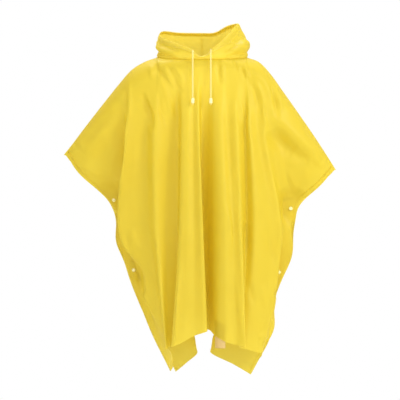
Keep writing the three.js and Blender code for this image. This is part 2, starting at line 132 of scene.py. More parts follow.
def film_look(tree, drawn=False):
    """PEVA film, blown and then calendered to a satin face.

    Its thickness drifts in clouds of about 60 mm. It hangs in ripples of about 14 mm that run down
    the cloth, and the roller leaves a grain of about 2 mm. The sheen of its face pales it a little.
    """
    colours = bpy.context.scene.poncho_colours
    place = add_node(tree, "ShaderNodeTexCoord", {}, {}).outputs["Object"]
    clouds = add_node(
        tree,
        "ShaderNodeTexNoise",
        {},
        {"Vector": place, "Scale": per_metre(60), "Detail": 2.0, "Roughness": 0.5},
    )
    base = add_node(
        tree,
        "ShaderNodeMix",
        {"data_type": "RGBA"},
        {
            0: clouds.outputs["Fac"],
            6: opaque(colours.film_thin),
            7: opaque(colours.film_thick),
        },
    )
    drawn_down = add_node(
        tree, "ShaderNodeMapping", {}, {"Vector": place, "Scale": (1.0, 1.0, 0.16)}
    )
    ripple = add_node(
        tree,
        "ShaderNodeTexNoise",
        {},
        {
            "Vector": drawn_down.outputs["Vector"],
            "Scale": per_metre(14),
            "Detail": 2.0,
            "Roughness": 0.45,
        },
    )
    grain = add_node(
        tree,
        "ShaderNodeTexNoise",
        {},
        {"Vector": place, "Scale": per_metre(2), "Detail": 1.0, "Roughness": 0.5},
    )
    rippled = add_node(
        tree,
        "ShaderNodeBump",
        {},
        {"Height": ripple.outputs["Fac"], "Strength": 0.35, "Distance": 1.6 * MM},
    )
    grained = add_node(
        tree,
        "ShaderNodeBump",
        {},
        {
            "Height": grain.outputs["Fac"],
            "Strength": 0.12,
            "Distance": 0.15 * MM,
            "Normal": rippled.outputs["Normal"],
        },
    )
    gloss = add_node(
        tree,
        "ShaderNodeMapRange",
        {},
        {"Value": clouds.outputs["Fac"], "To Min": 0.42, "To Max": 0.54},
    )
    face = {
        "Base Color": base.outputs[2],
        "Roughness": gloss.outputs["Result"],
        "Specular IOR Level": 0.5,
        "Normal": grained.outputs["Normal"],
    }
    share = THROUGH_DRAWN_FILM if drawn else THROUGH_FILM
    through = colours.film_drawn if drawn else colours.film_through
    return face, (share, {"Color": opaque(through)})


def turned_look(tree):
    """PEVA film, calendered, then turned over the drawcord and drawn thin by its gathers."""
    return film_look(tree, drawn=True)


def weld_look(tree):
    """PEVA film, fused by a hot bar: two films in one, with a fine rib across it every 1.2 mm."""
    colours = bpy.context.scene.poncho_colours
    place = add_node(tree, "ShaderNodeTexCoord", {}, {}).outputs["Object"]
    ribs = add_node(
        tree,
        "ShaderNodeTexWave",
        {"bands_direction": "DIAGONAL"},
        {"Vector": place, "Scale": waves(1.2), "Distortion": 0.4},
    )
    tone = add_node(
        tree,
        "ShaderNodeMix",
        {"data_type": "RGBA"},
        {
            0: ribs.outputs["Fac"],
            6: opaque(colours.weld),
            7: opaque(colours.film_thin),
        },
    )
    pressed = add_node(
        tree,
        "ShaderNodeBump",
        {},
        {"Height": ribs.outputs["Fac"], "Strength": 0.25, "Distance": 0.2 * MM},
    )
    face = {
        "Base Color": tone.outputs[2],
        "Roughness": 0.36,
        "Normal": pressed.outputs["Normal"],
    }
    return face, (THROUGH_WELD, {"Color": opaque(colours.film_through)})


def cord_look(tree):
    """Polyester, braided: crossing strands 1.6 mm apart that catch the light as small beads, with a
    painted shade in the colour between them.
    """
    colours = bpy.context.scene.poncho_colours
    lies = add_node(tree, "ShaderNodeUVMap", {}, {}).outputs["UV"]
    heights = []
    for lean in (0.7, -0.7):
        turned = add_node(
            tree,
            "ShaderNodeMapping",
            {},
            {"Vector": lies, "Rotation": (0, 0, lean), "Scale": (1, 1, 1)},
        )
        heights.append(
            add_node(
                tree,
                "ShaderNodeTexWave",
                {"bands_direction": "Y"},
                {
                    "Vector": turned.outputs["Vector"],
                    "Scale": waves(1.6),
                    "Distortion": 0.3,
                },
            ).outputs["Fac"]
        )
    crossed = add_node(
        tree, "ShaderNodeMath", {"operation": "MAXIMUM"}, {0: heights[0], 1: heights[1]}
    )
    # Painted shade: the colour goes darker between the strands, where the bump sinks.
    shaded = add_node(
        tree,
        "ShaderNodeMix",
        {"data_type": "RGBA"},
        {
            0: crossed.outputs["Value"],
            6: opaque(colours.cord_painted_shade),
            7: opaque(colours.cord),
        },
    )
    raised = add_node(
        tree,
        "ShaderNodeBump",
        {},
        {"Height": crossed.outputs["Value"], "Strength": 0.6, "Distance": 0.4 * MM},
    )
    face = {
        "Base Color": shaded.outputs[2],
        "Roughness": 0.8,
        "Sheen Weight": 0.2,
        "Normal": raised.outputs["Normal"],
    }
    return face, None


def plastic_look(tree):
    """LDPE, injection moulded: half clear and waxy, with a slight orange peel."""
    colours = bpy.context.scene.poncho_colours
    place = add_node(tree, "ShaderNodeTexCoord", {}, {}).outputs["Object"]
    peel = add_node(
        tree,
        "ShaderNodeTexNoise",
        {},
        {"Vector": place, "Scale": per_metre(1.5), "Detail": 2.0},
    )
    skin = add_node(
        tree,
        "ShaderNodeBump",
        {},
        {"Height": peel.outputs["Fac"], "Strength": 0.15, "Distance": 0.15 * MM},
    )
    tone = add_node(
        tree,
        "ShaderNodeMix",
        {"data_type": "RGBA"},
        {
            0: peel.outputs["Fac"],
            6: opaque(colours.plastic),
            7: opaque(colours.plastic_clear),
        },
    )
    face = {
        "Base Color": tone.outputs[2],
        "Roughness": 0.32,
        "IOR": 1.51,
        "Subsurface Weight": 0.3,
        "Subsurface Radius": (1.0, 0.9, 0.6),
        "Subsurface Scale": 3 * MM,
        "Normal": skin.outputs["Normal"],
    }
    return face, None


def tape_look(tree):
    """Polyester, woven as satin tape: fine ribs 0.9 mm apart, drawn that coarse to show, with a
    painted shade in the colour between them.
    """
    colours = bpy.context.scene.poncho_colours
    place = add_node(tree, "ShaderNodeTexCoord", {}, {}).outputs["Object"]
    ribs = add_node(
        tree,
        "ShaderNodeTexWave",
        {"bands_direction": "Z"},
        {"Vector": place, "Scale": waves(0.9), "Distortion": 0.5},
    )
    # Painted shade: the colour goes darker between the ribs, where the bump sinks.
    tone = add_node(
        tree,
        "ShaderNodeMix",
        {"data_type": "RGBA"},
        {
            0: ribs.outputs["Fac"],
            6: opaque(colours.tape_painted_shade),
            7: opaque(colours.tape),
        },
    )
    raised = add_node(
        tree,
        "ShaderNodeBump",
        {},
        {"Height": ribs.outputs["Fac"], "Strength": 0.3, "Distance": 0.2 * MM},
    )
    face = {
        "Base Color": tone.outputs[2],
        "Roughness": 0.5,
        "Sheen Weight": 0.3,
        "Normal": raised.outputs["Normal"],
    }
    return face, None


def floor_look(tree):
    """Matt white emulsion, rolled: a soft 4 mm stipple."""
    colours = bpy.context.scene.poncho_colours
    place = add_node(tree, "ShaderNodeTexCoord", {}, {}).outputs["Object"]
    stipple = add_node(
        tree, "ShaderNodeTexNoise", {}, {"Vector": place, "Scale": per_metre(4)}
    )
    rolled = add_node(
        tree,
        "ShaderNodeBump",
        {},
        {"Height": stipple.outputs["Fac"], "Strength": 0.05, "Distance": 0.3 * MM},
    )
    face = {
        "Base Color": opaque(colours.floor),
        "Roughness": 0.9,
        "Normal": rolled.outputs["Normal"],
    }
    return face, None


LOOKS = {
    "peva_film_calendered": film_look,
    "peva_film_turned": turned_look,
    "peva_film_welded": weld_look,
    "polyester_cord_braided": cord_look,
    "ldpe_moulded": plastic_look,
    "polyester_tape_woven": tape_look,
    "emulsion_rolled": floor_look,
}


def material(name):
    return bpy.data.materials.get(name) or new_material(name, LOOKS[name])


# The cut and the folds, in millimetres


def table(columns, rows):
    """One array for each named column."""
    return dict(zip(columns.split(), np.array(rows, float).T))


NECK_WIDTH = 242
NECK_DEPTH = 170
NECK_SHARE = 0.24  # share of each half width that the neck cut takes
NECK_DROP = 28  # fall from the neck to where the panel hangs free
TOP_GAP = 0.4  # between the two panels along the shoulders
YOKE = 0.1  # share of the panel's length that rounds over the shoulder
CHEST = 0.28  # shares of the length at which the fold tables are read
HIP = 0.62
YOKE_LEAN = 0.2  # how far the yoke's foot has moved from the top edge towards the chest
SNAP_LINE = 15  # distance of the snaps from the side edge
SNAP_REST = 3.4  # half the distance between the two panels at a snap
SNAP_HOLD = 24  # a snap holds the panels together to this distance from it
SNAP_FREE = 62  # and has let go of them at this one
HOLD_FROM = 0.35  # shares of the half width where that hold starts and is full
HOLD_FULL = 0.66
SEAM_HOLD = 0.035  # share of the length over which the top seam holds the creases flat
HOOD_RISE = 0.35  # the hood's foot stands this far over the neck cut
SEAM_GAP = 0.3
HALVES_GAP = 0.1  # between the halves of the hood, under the crown weld

TOP_EDGE = table(
    "across leftX leftZ rightX rightZ depth drop",
    [
        [0.24, -121, 4, 121, 4, 90, 46],
        [0.31, -156, -8, 156, -9, 89, 54],
        [0.4, -192, -30, 189, -43, 84, 58],
        [0.5, -226, -67, 220, -86, 74, 50],
        [0.63, -267, -118, 260, -142, 60, 40],
        [0.8, -320, -186, 311, -216, 39, 29],
        [0.92, -356, -234, 346, -270, 22, 22],
        [1.0, -380, -264, 368, -305, 8, 18],
    ],
)
FOLD_COLUMNS = "across chestX chestOut hipX hipOut hemX hemOut hemZ"
FRONT_FOLDS = table(
    FOLD_COLUMNS,
    [
        [-1.0, -249, 4, -192, 3, -86, 8, -858],
        [-0.84, -238, 24, -182, 8, -79, 34, -845],
        [-0.68, -222, 42, -192, 20, -79, 60, -826],
        [-0.52, -196, 50, -198, 36, -82, 82, -806],
        [-0.415, -209, 88, -223, 58, -86, 96, -794],
        [-0.355, -180, 78, -190, 64, -92, 106, -789],
        [-0.304, -151, 76, -146, 76, -98, 110, -786],
        [-0.24, -127, 100, -124, 100, -96, 120, -784],
        [-0.13, -90, 84, -96, 86, -86, 110, -782],
        [-0.1, -64, 82, -64, 84, -54, 96, -774],
        [-0.072, -56, 108, -62, 120, -82, 136, -782],
        [-0.046, -38, 115, -42, 127, -52, 141, -768],
        [-0.03, -24, 110, -22, 121, -22, 134, -752],
        [-0.014, -8, 117, 2, 130, 14, 133, -739],
        [0.003, -3, 84, -8, 64, -4, 58, -737],
        [0.022, 14, 85, 12, 60, 20, 48, -742],
        [0.045, 32, 104, 34, 106, 34, 106, -752],
        [0.068, 52, 112, 61, 124, 62, 124, -768],
        [0.093, 70, 102, 84, 112, 90, 121, -776],
        [0.136, 94, 110, 106, 117, 116, 130, -781],
        [0.19, 116, 92, 120, 80, 100, 96, -785],
        [0.24, 130, 107, 145, 96, 122, 84, -792],
        [0.305, 151, 91, 190, 66, 146, 68, -800],
        [0.345, 172, 90, 214, 54, 160, 56, -804],
        [0.42, 194, 73, 212, 34, 163, 42, -808],
        [0.58, 220, 52, 200, 18, 162, 28, -814],
        [0.8, 240, 26, 192, 7, 158, 16, -820],
        [1.0, 260, 4, 213, 3, 152, 6, -828],
    ],
)
BACK_FOLDS = table(
    FOLD_COLUMNS,
    [
        [-1.0, -251, 4, -195, 4, -72, 10, -861],
        [-0.86, -240, 24, -184, 22, -44, 30, -838],
        [-0.72, -222, 44, -150, 48, -16, 54, -808],
        [-0.58, -214, 68, -162, 76, -64, 84, -782],
        [-0.46, -204, 84, -178, 98, -112, 104, -764],
        [-0.38, -178, 76, -150, 86, -100, 84, -752],
        [-0.3, -150, 96, -124, 112, -78, 118, -744],
        [-0.24, -120, 86, -98, 92, -60, 86, -738],
        [-0.15, -92, 104, -70, 120, -38, 128, -732],
        [-0.08, -56, 96, -42, 98, -16, 88, -728],
        [0.0, -14, 110, -8, 126, 8, 132, -726],
        [0.08, 24, 98, 22, 98, 30, 92, -727],
        [0.15, 60, 108, 50, 124, 54, 130, -731],
        [0.24, 96, 90, 82, 94, 78, 88, -737],
        [0.31, 130, 102, 116, 116, 106, 120, -744],
        [0.39, 158, 80, 148, 88, 124, 86, -752],
        [0.48, 190, 86, 186, 98, 150, 104, -766],
        [0.6, 212, 66, 178, 74, 98, 80, -786],
        [0.74, 234, 46, 172, 50, 26, 56, -808],
        [0.87, 252, 26, 200, 26, 84, 34, -842],
        [1.0, 263, 4, 206, 4, 129, 14, -869],
    ],
)
TUCK_COLUMNS = "fold foldReach down downReach x out"
FRONT_TUCKS = table(
    TUCK_COLUMNS,
    [
        [0, 1.6, 0.17, 0.06, 0, 13],
        [0, 3.0, 0.17, 0.08, -14, 0],
        [0, 1.0, 0.36, 0.04, 26, 3],
        [27, 1.6, 0.17, 0.06, 0, 13],
        [27, 3.0, 0.22, 0.06, -13, 0],
        [27, 2.5, 0.47, 0.1, 18, 0],
        [27, 4.0, 0.85, 0.09, 21, 0],
        [0, 3.0, 0.85, 0.12, -5, 0],
        [0, 2.6, 0.44, 0.07, -13, 0],
        [4, 1.6, 0.73, 0.07, 32, 0],
    ],
)
BACK_TUCKS = table(
    TUCK_COLUMNS,
    [
        [0, 1.6, 0.17, 0.06, 0, 13],
        [0, 3.0, 0.17, 0.08, -14, 0],
        [2, 1.2, 0.92, 0.06, 20, 0],
        [18, 1.2, 0.92, 0.06, -26, 0],
        [20, 1.6, 0.17, 0.06, 0, 13],
        [20, 3.0, 0.22, 0.06, -13, 0],
        [20, 2.5, 0.46, 0.1, 18, 0],
        [20, 2.0, 0.84, 0.09, 23, 0],
        [20, 1.5, 0.95, 0.07, 8, 0],
        [0, 2.0, 0.82, 0.12, -5, 0],
        [0, 2.0, 0.44, 0.07, -15, 0],
    ],
)

# Creases laid over the folds: from (x0, z0) to (x1, z1), bowed sideways by bend, with a
# half width and a depth, outward if positive
CREASE_COLUMNS = "x0 z0 x1 z1 bend width depth"
FRONT_CREASES = table(
    CREASE_COLUMNS,
    [
        # left shoulder, below the hood
        [-121, -19, -112, -58, 3, 5, -6],
        [-137, -24, -133, -62, 2, 6, 4],
        [-116, -30, -80, -84, 4, 6, -7],
        [-104, -28, -72, -72, -3, 5, 4],
        [-94, -22, -50, -96, 5, 6, -7],
        [-80, -26, -46, -74, -3, 5, 4],
        [-164, -98, -134, -198, -6, 8, -7],
        [-150, -92, -128, -150, 3, 7, 4],
        [-108, -72, -84, -166, -5, 8, 5],
        [-116, -94, -98, -186, 4, 6, -4],
        [-70, -96, -62, -190, 3, 7, -4],
        [-198, -66, -201, -172, -3, 6, 4],
        [-207, -76, -212, -196, -4, 6, -5],
        # right shoulder
        [86, -6, 98, -40, 2, 5, -4],
        [103, -28, 116, -62, -3, 5, -5],
        [115, -24, 130, -60, 3, 5, 4],
        [143, -66, 166, -128, -4, 5, 4],
        [132, -74, 152, -138, -4, 5, -5],
        [166, -112, 174, -198, 3, 5, 5],
        [183, -62, 202, -166, -5, 7, -7],
        [196, -66, 213, -148, -4, 6, 4],
        [107, -128, 116, -184, 2, 4, 3],
        [93, -112, 100, -192, -2, 5, -3],
        [126, -150, 130, -226, 2, 4, 3],
        # below the throat
        [44, -4, 48, -76, 2, 6, -4],
        [56, -4, 60, -78, 2, 6, 3],
        [-34, -8, -38, -80, 2, 7, -3],
        # right sleeve: a bright bank over a shaded hollow
        [181, -146, 326, -282, 0, 24, 15],
        [186, -200, 250, -258, 6, 20, -12],
        [236, -250, 292, -276, 4, 16, -9],
        [272, -180, 304, -230, 0, 7, -3],
        [300, -270, 336, -296, 3, 8, 3],
        [232, -300, 262, -352, 4, 12, 4],
        # left sleeve: soft pulls from the arm towards the hand
        [-222, -160, -316, -262, 8, 20, 5],
        [-240, -148, -328, -236, 5, 14, -5],
        [-330, -288, -268, -322, 5, 9, 3],
        [-350, -228, -334, -252, 0, 5, -3],
        [-258, -232, -300, -292, -4, 15, -4],
        [-236, -250, -250, -330, 5, 14, 4],
        # left side below the arm
        [-192, -462, -168, -524, 5, 9, 4],
        [-205, -482, -190, -542, 3, 8, -4],
        [-176, -586, -154, -644, 4, 8, -4],
        [-160, -640, -150, -664, 1, 5, 3],
        [-122, -708, -105, -713, 1, 4, 3],
        [-150, -560, -140, -640, 3, 10, 3],
        [-128, -640, -118, -740, 3, 9, -3],
        # pleat and the bright fold right of it
        [-36, -330, -33, -720, -3, 11, 3],
        [-58, -556, -75, -790, 0, 5, 6],
        [66, -398, 78, -530, -3, 6, 4],
        [82, -552, 106, -762, -4, 7, 2],
        [96, -300, 100, -420, 3, 8, -3],
        # right side below the arm
        [121, -452, 124, -544, 2, 9, -4],
        [132, -616, 139, -668, 2, 9, -4],
        [164, -616, 177, -680, 3, 9, 3],
        [187, -654, 191, -748, 2, 8, -4],
        [152, -760, 190, -755, 2, 9, 4],
        [253, -446, 254, -486, 1, 6, -6],
        [204, -632, 203, -654, 1, 6, -5],
        [222, -430, 206, -520, -4, 11, 4],
        [182, -460, 196, -560, 5, 10, -4],
    ],
)
BACK_CREASES = table(
    CREASE_COLUMNS,
    [
        [-128, -16, -116, -66, 3, 6, -6],
        [-110, -22, -84, -90, 4, 6, 4],
        [-92, -18, -60, -84, 4, 6, -6],
        [-48, -6, -40, -92, 3, 7, 4],
        [-66, -30, -50, -130, -3, 6, -4],
        [52, -8, 46, -96, -3, 7, 4],
        [72, -20, 60, -110, -3, 6, -5],
        [96, -18, 110, -80, 3, 6, -5],
        [118, -20, 140, -96, -4, 6, 4],
        [132, -26, 160, -130, 4, 7, -6],
        [176, -60, 204, -166, -5, 8, 5],
        [188, -58, 214, -150, -5, 6, -6],
        [-176, -70, -206, -190, 5, 8, 5],
        [-190, -66, -222, -160, 4, 7, -6],
        [-214, -156, -306, -252, 8, 20, 5],
        [-232, -146, -320, -232, 5, 14, -5],
        [-330, -284, -276, -326, 5, 9, 3],
        [206, -180, 292, -266, -8, 20, 5],
        [226, -172, 310, -250, -5, 13, -5],
        [278, -330, 330, -300, 4, 9, 3],
        [220, -250, 250, -340, -6, 15, -5],
        [-222, -250, -244, -346, 6, 14, -5],
        [-20, -170, -16, -330, 3, 9, 3],
        [44, -210, 38, -400, -3, 9, -3],
        [-86, -300, -70, -470, 4, 10, -4],
        [100, -330, 92, -500, -4, 10, 4],
        [-180, -430, -160, -540, 4, 10, 4],
        [-196, -470, -172, -590, 4, 9, -5],
        [214, -440, 190, -570, -4, 11, -5],
        [190, -500, 172, -620, -4, 9, 4],
        [-110, -560, -92, -690, 3, 9, 3],
        [-60, -600, -44, -700, 3, 9, -3],
        [10, -520, 14, -690, 3, 10, -3],
        [64, -560, 66, -700, 2, 9, 3],
        [112, -620, 104, -740, -3, 9, -4],
        [-150, -640, -110, -760, 4, 9, -4],
        [150, -700, 120, -800, -3, 9, 4],
    ],
)

SNAPS = {
    "snap_left_1": (-1, -388),
    "snap_left_2": (-1, -580),
    "snap_right_1": (1, -411),
    "snap_right_2": (1, -586),
}
FRONT = {
    "name": "front",
    "folds": FRONT_FOLDS,
    "tucks": FRONT_TUCKS,
    "creases": FRONT_CREASES,
    "facing": -1,
    "neckMiddleZ": -8,
    "neckMiddleOut": 102,
}
BACK = {
    "name": "back",
    "folds": BACK_FOLDS,
    "tucks": BACK_TUCKS,
    "creases": BACK_CREASES,
    "facing": 1,
    "neckMiddleZ": 15,
    "neckMiddleOut": 104,
}

HOOD_SECTIONS = table(
    "turn rimX rimY rimZ bulge",
    [
        [-180, 0, 104, 80, 0],
        [-150, -64, 94, 80, 2],
        [-125, -105, 58, 81, 3],
        [-100, -116, 16, 69, 4],
        [-75, -104, -26, 54, 9],
        [-45, -66, -66, 36, 8],
        [-20, -25, -88, 17, 3],
        [-9, -12, -90, 5, 0],
        [0, 0, -91, 2, 0],
        [9, 12, -90, 6, 0],
        [20, 24, -88, 18, 3],
        [45, 53, -66, 43, 9],
        [70, 74, -34, 68, 16],
        [92, 90, -2, 90, 17],
        [110, 98, 30, 100, 17],
        [135, 70, 74, 97, 8],
        [158, 36, 97, 81, 2],
    ],
)
POUCH_PATH = table(
    "y z",
    [
        [85, 15],
        [108, 12],
        [124, -24],
        [128, -78],
        [130, -122],
        [146, -138],
        [160, -112],
        [162, -40],
        [154, 20],
        [132, 66],
        [104, 80],
    ],
)
POUCH_SPREAD = 0.42  # the slack is wider than the neck and the rim by this share
POUCH_FROM, POUCH_FULL = 100, 145  # turns at which the slack starts and is full
POUCH_DEEPENS, POUCH_DEEP = 132, 168  # and those between which it comes to hang down
SWELL_SKEW = 0.66  # puts the fullest part of the hood's side below its middle
FINE = 2000  # points of a curve that others are read from
WELD_FILM = 0.3  # thickness of a weld's ribbed strip

# Creases of the hood: from a turn and a way from neck to rim, to another
HOOD_CREASES = table(
    "turn0 way0 turn1 way1 width depth",
    [
        [-112, 0.6, -30, 0.26, 8, 6],
        [-108, 0.36, -36, 0.12, 7, -10],
        [-86, 0.2, -52, 0.06, 6, 4],
        [-128, 0.74, -84, 0.66, 6, -4],
        [-70, 0.72, -36, 0.6, 5, -3],
        [30, 0.3, 78, 0.5, 6, 4],
        [38, 0.5, 84, 0.72, 6, -4],
        [36, 0.2, 112, 0.16, 7, -9],
        [46, 0.44, 126, 0.44, 15, 7],
        [96, 0.46, 128, 0.62, 9, -5],
        [52, 0.74, 70, 0.5, 5, 3],
        [84, 0.8, 100, 0.5, 6, -3],
        [-172, 0.52, -120, 0.62, 10, -6],
        [-166, 0.7, -112, 0.82, 9, 5],
        [-150, 0.3, -118, 0.44, 8, -5],
        [172, 0.55, 122, 0.66, 10, 6],
        [166, 0.72, 118, 0.84, 9, -5],
        [158, 0.36, 126, 0.28, 8, 5],
        [-178, 0.84, -140, 0.9, 8, -4],
        [176, 0.82, 146, 0.92, 8, 4],
    ],
)

# The free ends of the drawcord, from the casing down to the bead, as in the solids
CORD_ROUTES = {
    "left": [
        [-25, -92, 16.4],
        [-25, -98, 8],
        [-25, -105, -4],
        [-25, -111, -22],
        [-25, -115, -44],
        [-25, -117, -68],
        [-25, -118, -92],
        [-25, -118, -113],
    ],
    "right": [
        [23.5, -92.1, 18.8],
        [23.5, -98, 9],
        [23.5, -105, -4],
        [23.5, -110, -22],
        [23.5, -112, -44],
        [23.5, -113, -68],
        [23.5, -113, -92],
        [23.5, -113, -113],
    ],
}


# Curves through tables


def hermite(start, end, slope_in, slope_out, s):
    s2, s3 = s * s, s * s * s
    return (
        (2 * s3 - 3 * s2 + 1) * start
        + (s3 - 2 * s2 + s) * slope_in
        + (3 * s2 - 2 * s3) * end
        + (s3 - s2) * slope_out
    )


def along_values(values, t):
    """A smooth curve through evenly spaced values, read at places counted in values."""
    last = len(values) - 1
    i = np.clip(np.floor(t).astype(int), 0, last - 1)
    at = lambda j: values[np.clip(j, 0, last)]
    slope_in = (at(i + 1) - at(i - 1)) / 2
    slope_out = (at(i + 2) - at(i)) / 2
    return hermite(at(i), at(i + 1), slope_in, slope_out, t - i)


def along_places(places, values, t, flat_start=False):
    """A smooth curve through values at uneven places. values may hold an array for each place."""
    places, values = np.asarray(places, float), np.asarray(values, float)
    t = np.asarray(t, float)
    last = len(places) - 1
    index = np.arange(last + 1)
    before, after = np.maximum(index - 1, 0), np.minimum(index + 1, last)
    deep = (slice(None),) + (None,) * (values.ndim - 1)
    slopes = (values[after] - values[before]) / (places[after] - places[before])[deep]
    if flat_start:
        slopes[0] = 0
    i = np.clip(np.searchsorted(places, t) - 1, 0, last - 1)
    span = (places[i + 1] - places[i])[deep]
    s = ((t - places[i]) / (places[i + 1] - places[i]))[deep]
    return hermite(values[i], values[i + 1], slopes[i] * span, slopes[i + 1] * span, s)


def smoothstep(x, low, high):
    s = np.clip((x - low) / (high - low), 0, 1)
    return s * s * (3 - 2 * s)


def bell(distance):
    return np.exp(-distance * distance)


def lerp(a, b, t):
    return a + (b - a) * t


# Panels


def top_of(panel, across):
    """The panel's top edge: the neck cut near the middle and the shoulder beyond it."""
    left, away = across < 0, np.abs(across)
    read = lambda name: along_places(TOP_EDGE["across"], TOP_EDGE[name], away)
    angle = np.minimum(away / NECK_SHARE, 1) * math.pi / 2
    middle = np.cos(angle)
    inside = away <= NECK_SHARE
    neck_x = np.where(left, -1, 1) * NECK_WIDTH * np.sin(angle) / 2
    neck_z = lerp(TOP_EDGE["leftZ"][0], panel["neckMiddleZ"], middle)
    return {
        "x": np.where(inside, neck_x, np.where(left, read("leftX"), read("rightX"))),
        "out": np.maximum(np.where(inside, NECK_DEPTH * middle / 2, 0), TOP_GAP / 2),
        "z": np.where(inside, neck_z, np.where(left, read("leftZ"), read("rightZ"))),
        "depth": np.where(
            inside,
            lerp(TOP_EDGE["depth"][0], panel["neckMiddleOut"], middle),
            read("depth"),
        ),
        "drop": np.where(
            inside, lerp(TOP_EDGE["drop"][0], NECK_DROP, middle), read("drop")
        ),
    }


def rows_of(columns):
    return [dict(zip(columns, row)) for row in zip(*columns.values())]


def panel_surface(panel, fold, down, snaps=()):
    """Points of a panel's middle surface for each fold place and each place down it."""
    folds = panel["folds"]
    read = lambda name: along_values(folds[name], fold)
    across = np.interp(fold, np.arange(len(folds["across"])), folds["across"])
    top = top_of(panel, across)
    yoke_x = lerp(top["x"], read("chestX"), YOKE_LEAN)
    x = along_places(
        [0, YOKE, CHEST, HIP, 1],
        [top["x"], yoke_x, read("chestX"), read("hipX"), read("hemX")],
        down,
    ).T
    angle = np.minimum(down / YOKE, 1) * math.pi / 2
    over = (
        top["out"][:, None] + (top["depth"] - top["out"])[:, None] * np.sin(angle),
        top["z"][:, None] - top["drop"][:, None] * (1 - np.cos(angle)),
    )
    hung_out = along_places(
        [YOKE, CHEST, HIP, 1],
        [top["depth"], read("chestOut"), read("hipOut"), read("hemOut")],
        down,
        flat_start=True,
    ).T
    yoke_z = (top["z"] - top["drop"])[:, None]
    hung_z = lerp(yoke_z, read("hemZ")[:, None], (down - YOKE) / (1 - YOKE))
    rounds = down < YOKE
    out = np.where(rounds, over[0], hung_out)
    z = np.where(rounds, over[1], hung_z)
    for tuck in rows_of(panel["tucks"]):
        weight = (
            bell((fold - tuck["fold"]) / tuck["foldReach"])[:, None]
            * bell((down - tuck["down"]) / tuck["downReach"])[None, :]
        )
        x = x + tuck["x"] * weight
        out = out + tuck["out"] * weight
    near_edge = smoothstep(np.abs(across), HOLD_FROM, HOLD_FULL)[:, None]
    for snap_x, snap_z in snaps:
        distance = np.hypot(x - snap_x, z - snap_z)
        weight = near_edge * (1 - smoothstep(distance, SNAP_HOLD, SNAP_FREE))
        out = lerp(out, SNAP_REST, weight)
    return np.stack([x, panel["facing"] * out, z], axis=-1)


def snap_places():
    """Each snap sits on a line inside the side edge, at its own height."""
    down = np.linspace(YOKE, 1, FINE)
    places = {}
    for name, (side, height) in SNAPS.items():
        edge = 0.0 if side < 0 else len(FRONT_FOLDS["across"]) - 1.0
        line = panel_surface(FRONT, np.array([edge]), down)[0]
        x = np.interp(height, line[::-1, 2], line[::-1, 0])
        places[name] = (x - side * SNAP_LINE, height)
    return places


def spread_folds(panel, count):
    """Fold places that lie close together in narrow folds and evenly in wide ones."""
    across = panel["folds"]["across"]
    fold = np.linspace(0, len(across) - 1, FINE)
    measure = fold / fold[-1] + np.interp(fold, np.arange(len(across)), across) / 2
    return np.interp(np.linspace(measure[0], measure[-1], count), measure, fold)


def grid_normals(points):
    """Unit normals of a grid of points that face outward, for rows that run upward."""
    normals = np.cross(np.gradient(points, axis=0), np.gradient(points, axis=1))
    length = np.linalg.norm(normals, axis=-1, keepdims=True)
    return normals / np.maximum(length, 1e-9)


def panel_normals(panel, points):
    """Unit normals of a panel's grid that face out of the garment."""
    return grid_normals(points) * panel["facing"]


def near_path(points, path, width):
    """How strongly a crease along a path acts at each point: full on it, and fading at its ends."""
    best = np.full(points.shape[:-1], np.inf)
    share = np.zeros(points.shape[:-1])
    count = len(path) - 1
    for i in range(count):
        step = path[i + 1] - path[i]
        t = ((points - path[i]) @ step) / (step @ step)
        t = np.clip(t, 0, 1)
        distance = np.linalg.norm(points - (path[i] + t[..., None] * step), axis=-1)
        closer = distance < best
        best = np.where(closer, distance, best)
        share = np.where(closer, (i + t) / count, share)
    return bell(best / width) * np.sin(math.pi * np.clip(share, 0, 1)) ** 0.7


def crease_path(crease, steps=6):
    start = np.array([crease["x0"], crease["z0"]])
    end = np.array([crease["x1"], crease["z1"]])
    t = np.linspace(0, 1, steps + 1)[:, None]
    side = np.array([end[1] - start[1], start[0] - end[0]])
    side = side / np.linalg.norm(side)
    return lerp(start, end, t) + side * crease["bend"] * 4 * t * (1 - t)


def press_creases(panel, points, down):
    """Moves the points of a panel out or in along its creases, less and less near the top seam."""
    normals = panel_normals(panel, points)
    flat = points[..., [0, 2]]
    lift = np.zeros(points.shape[:-1])
    for crease in rows_of(panel["creases"]):
        lift += crease["depth"] * near_path(flat, crease_path(crease), crease["width"])
    lift = lift * smoothstep(down, 0, SEAM_HOLD)
    return points + normals * lift[..., None]


# Hood


def rim_at(turn):
    """The face edge of the hood at each turn, read round and round, and the swell of its wall."""
    names = list(HOOD_SECTIONS)
    rows = np.stack([HOOD_SECTIONS[name] for name in names], axis=-1)
    before, after = rows[-2:].copy(), rows[:2].copy()
    before[:, 0] -= 360
    after[:, 0] += 360
    rows = np.concatenate([before, rows, after])
    read = along_places(rows[:, 0], rows[:, 1:], turn)
    return read[:, :3], read[:, 3]


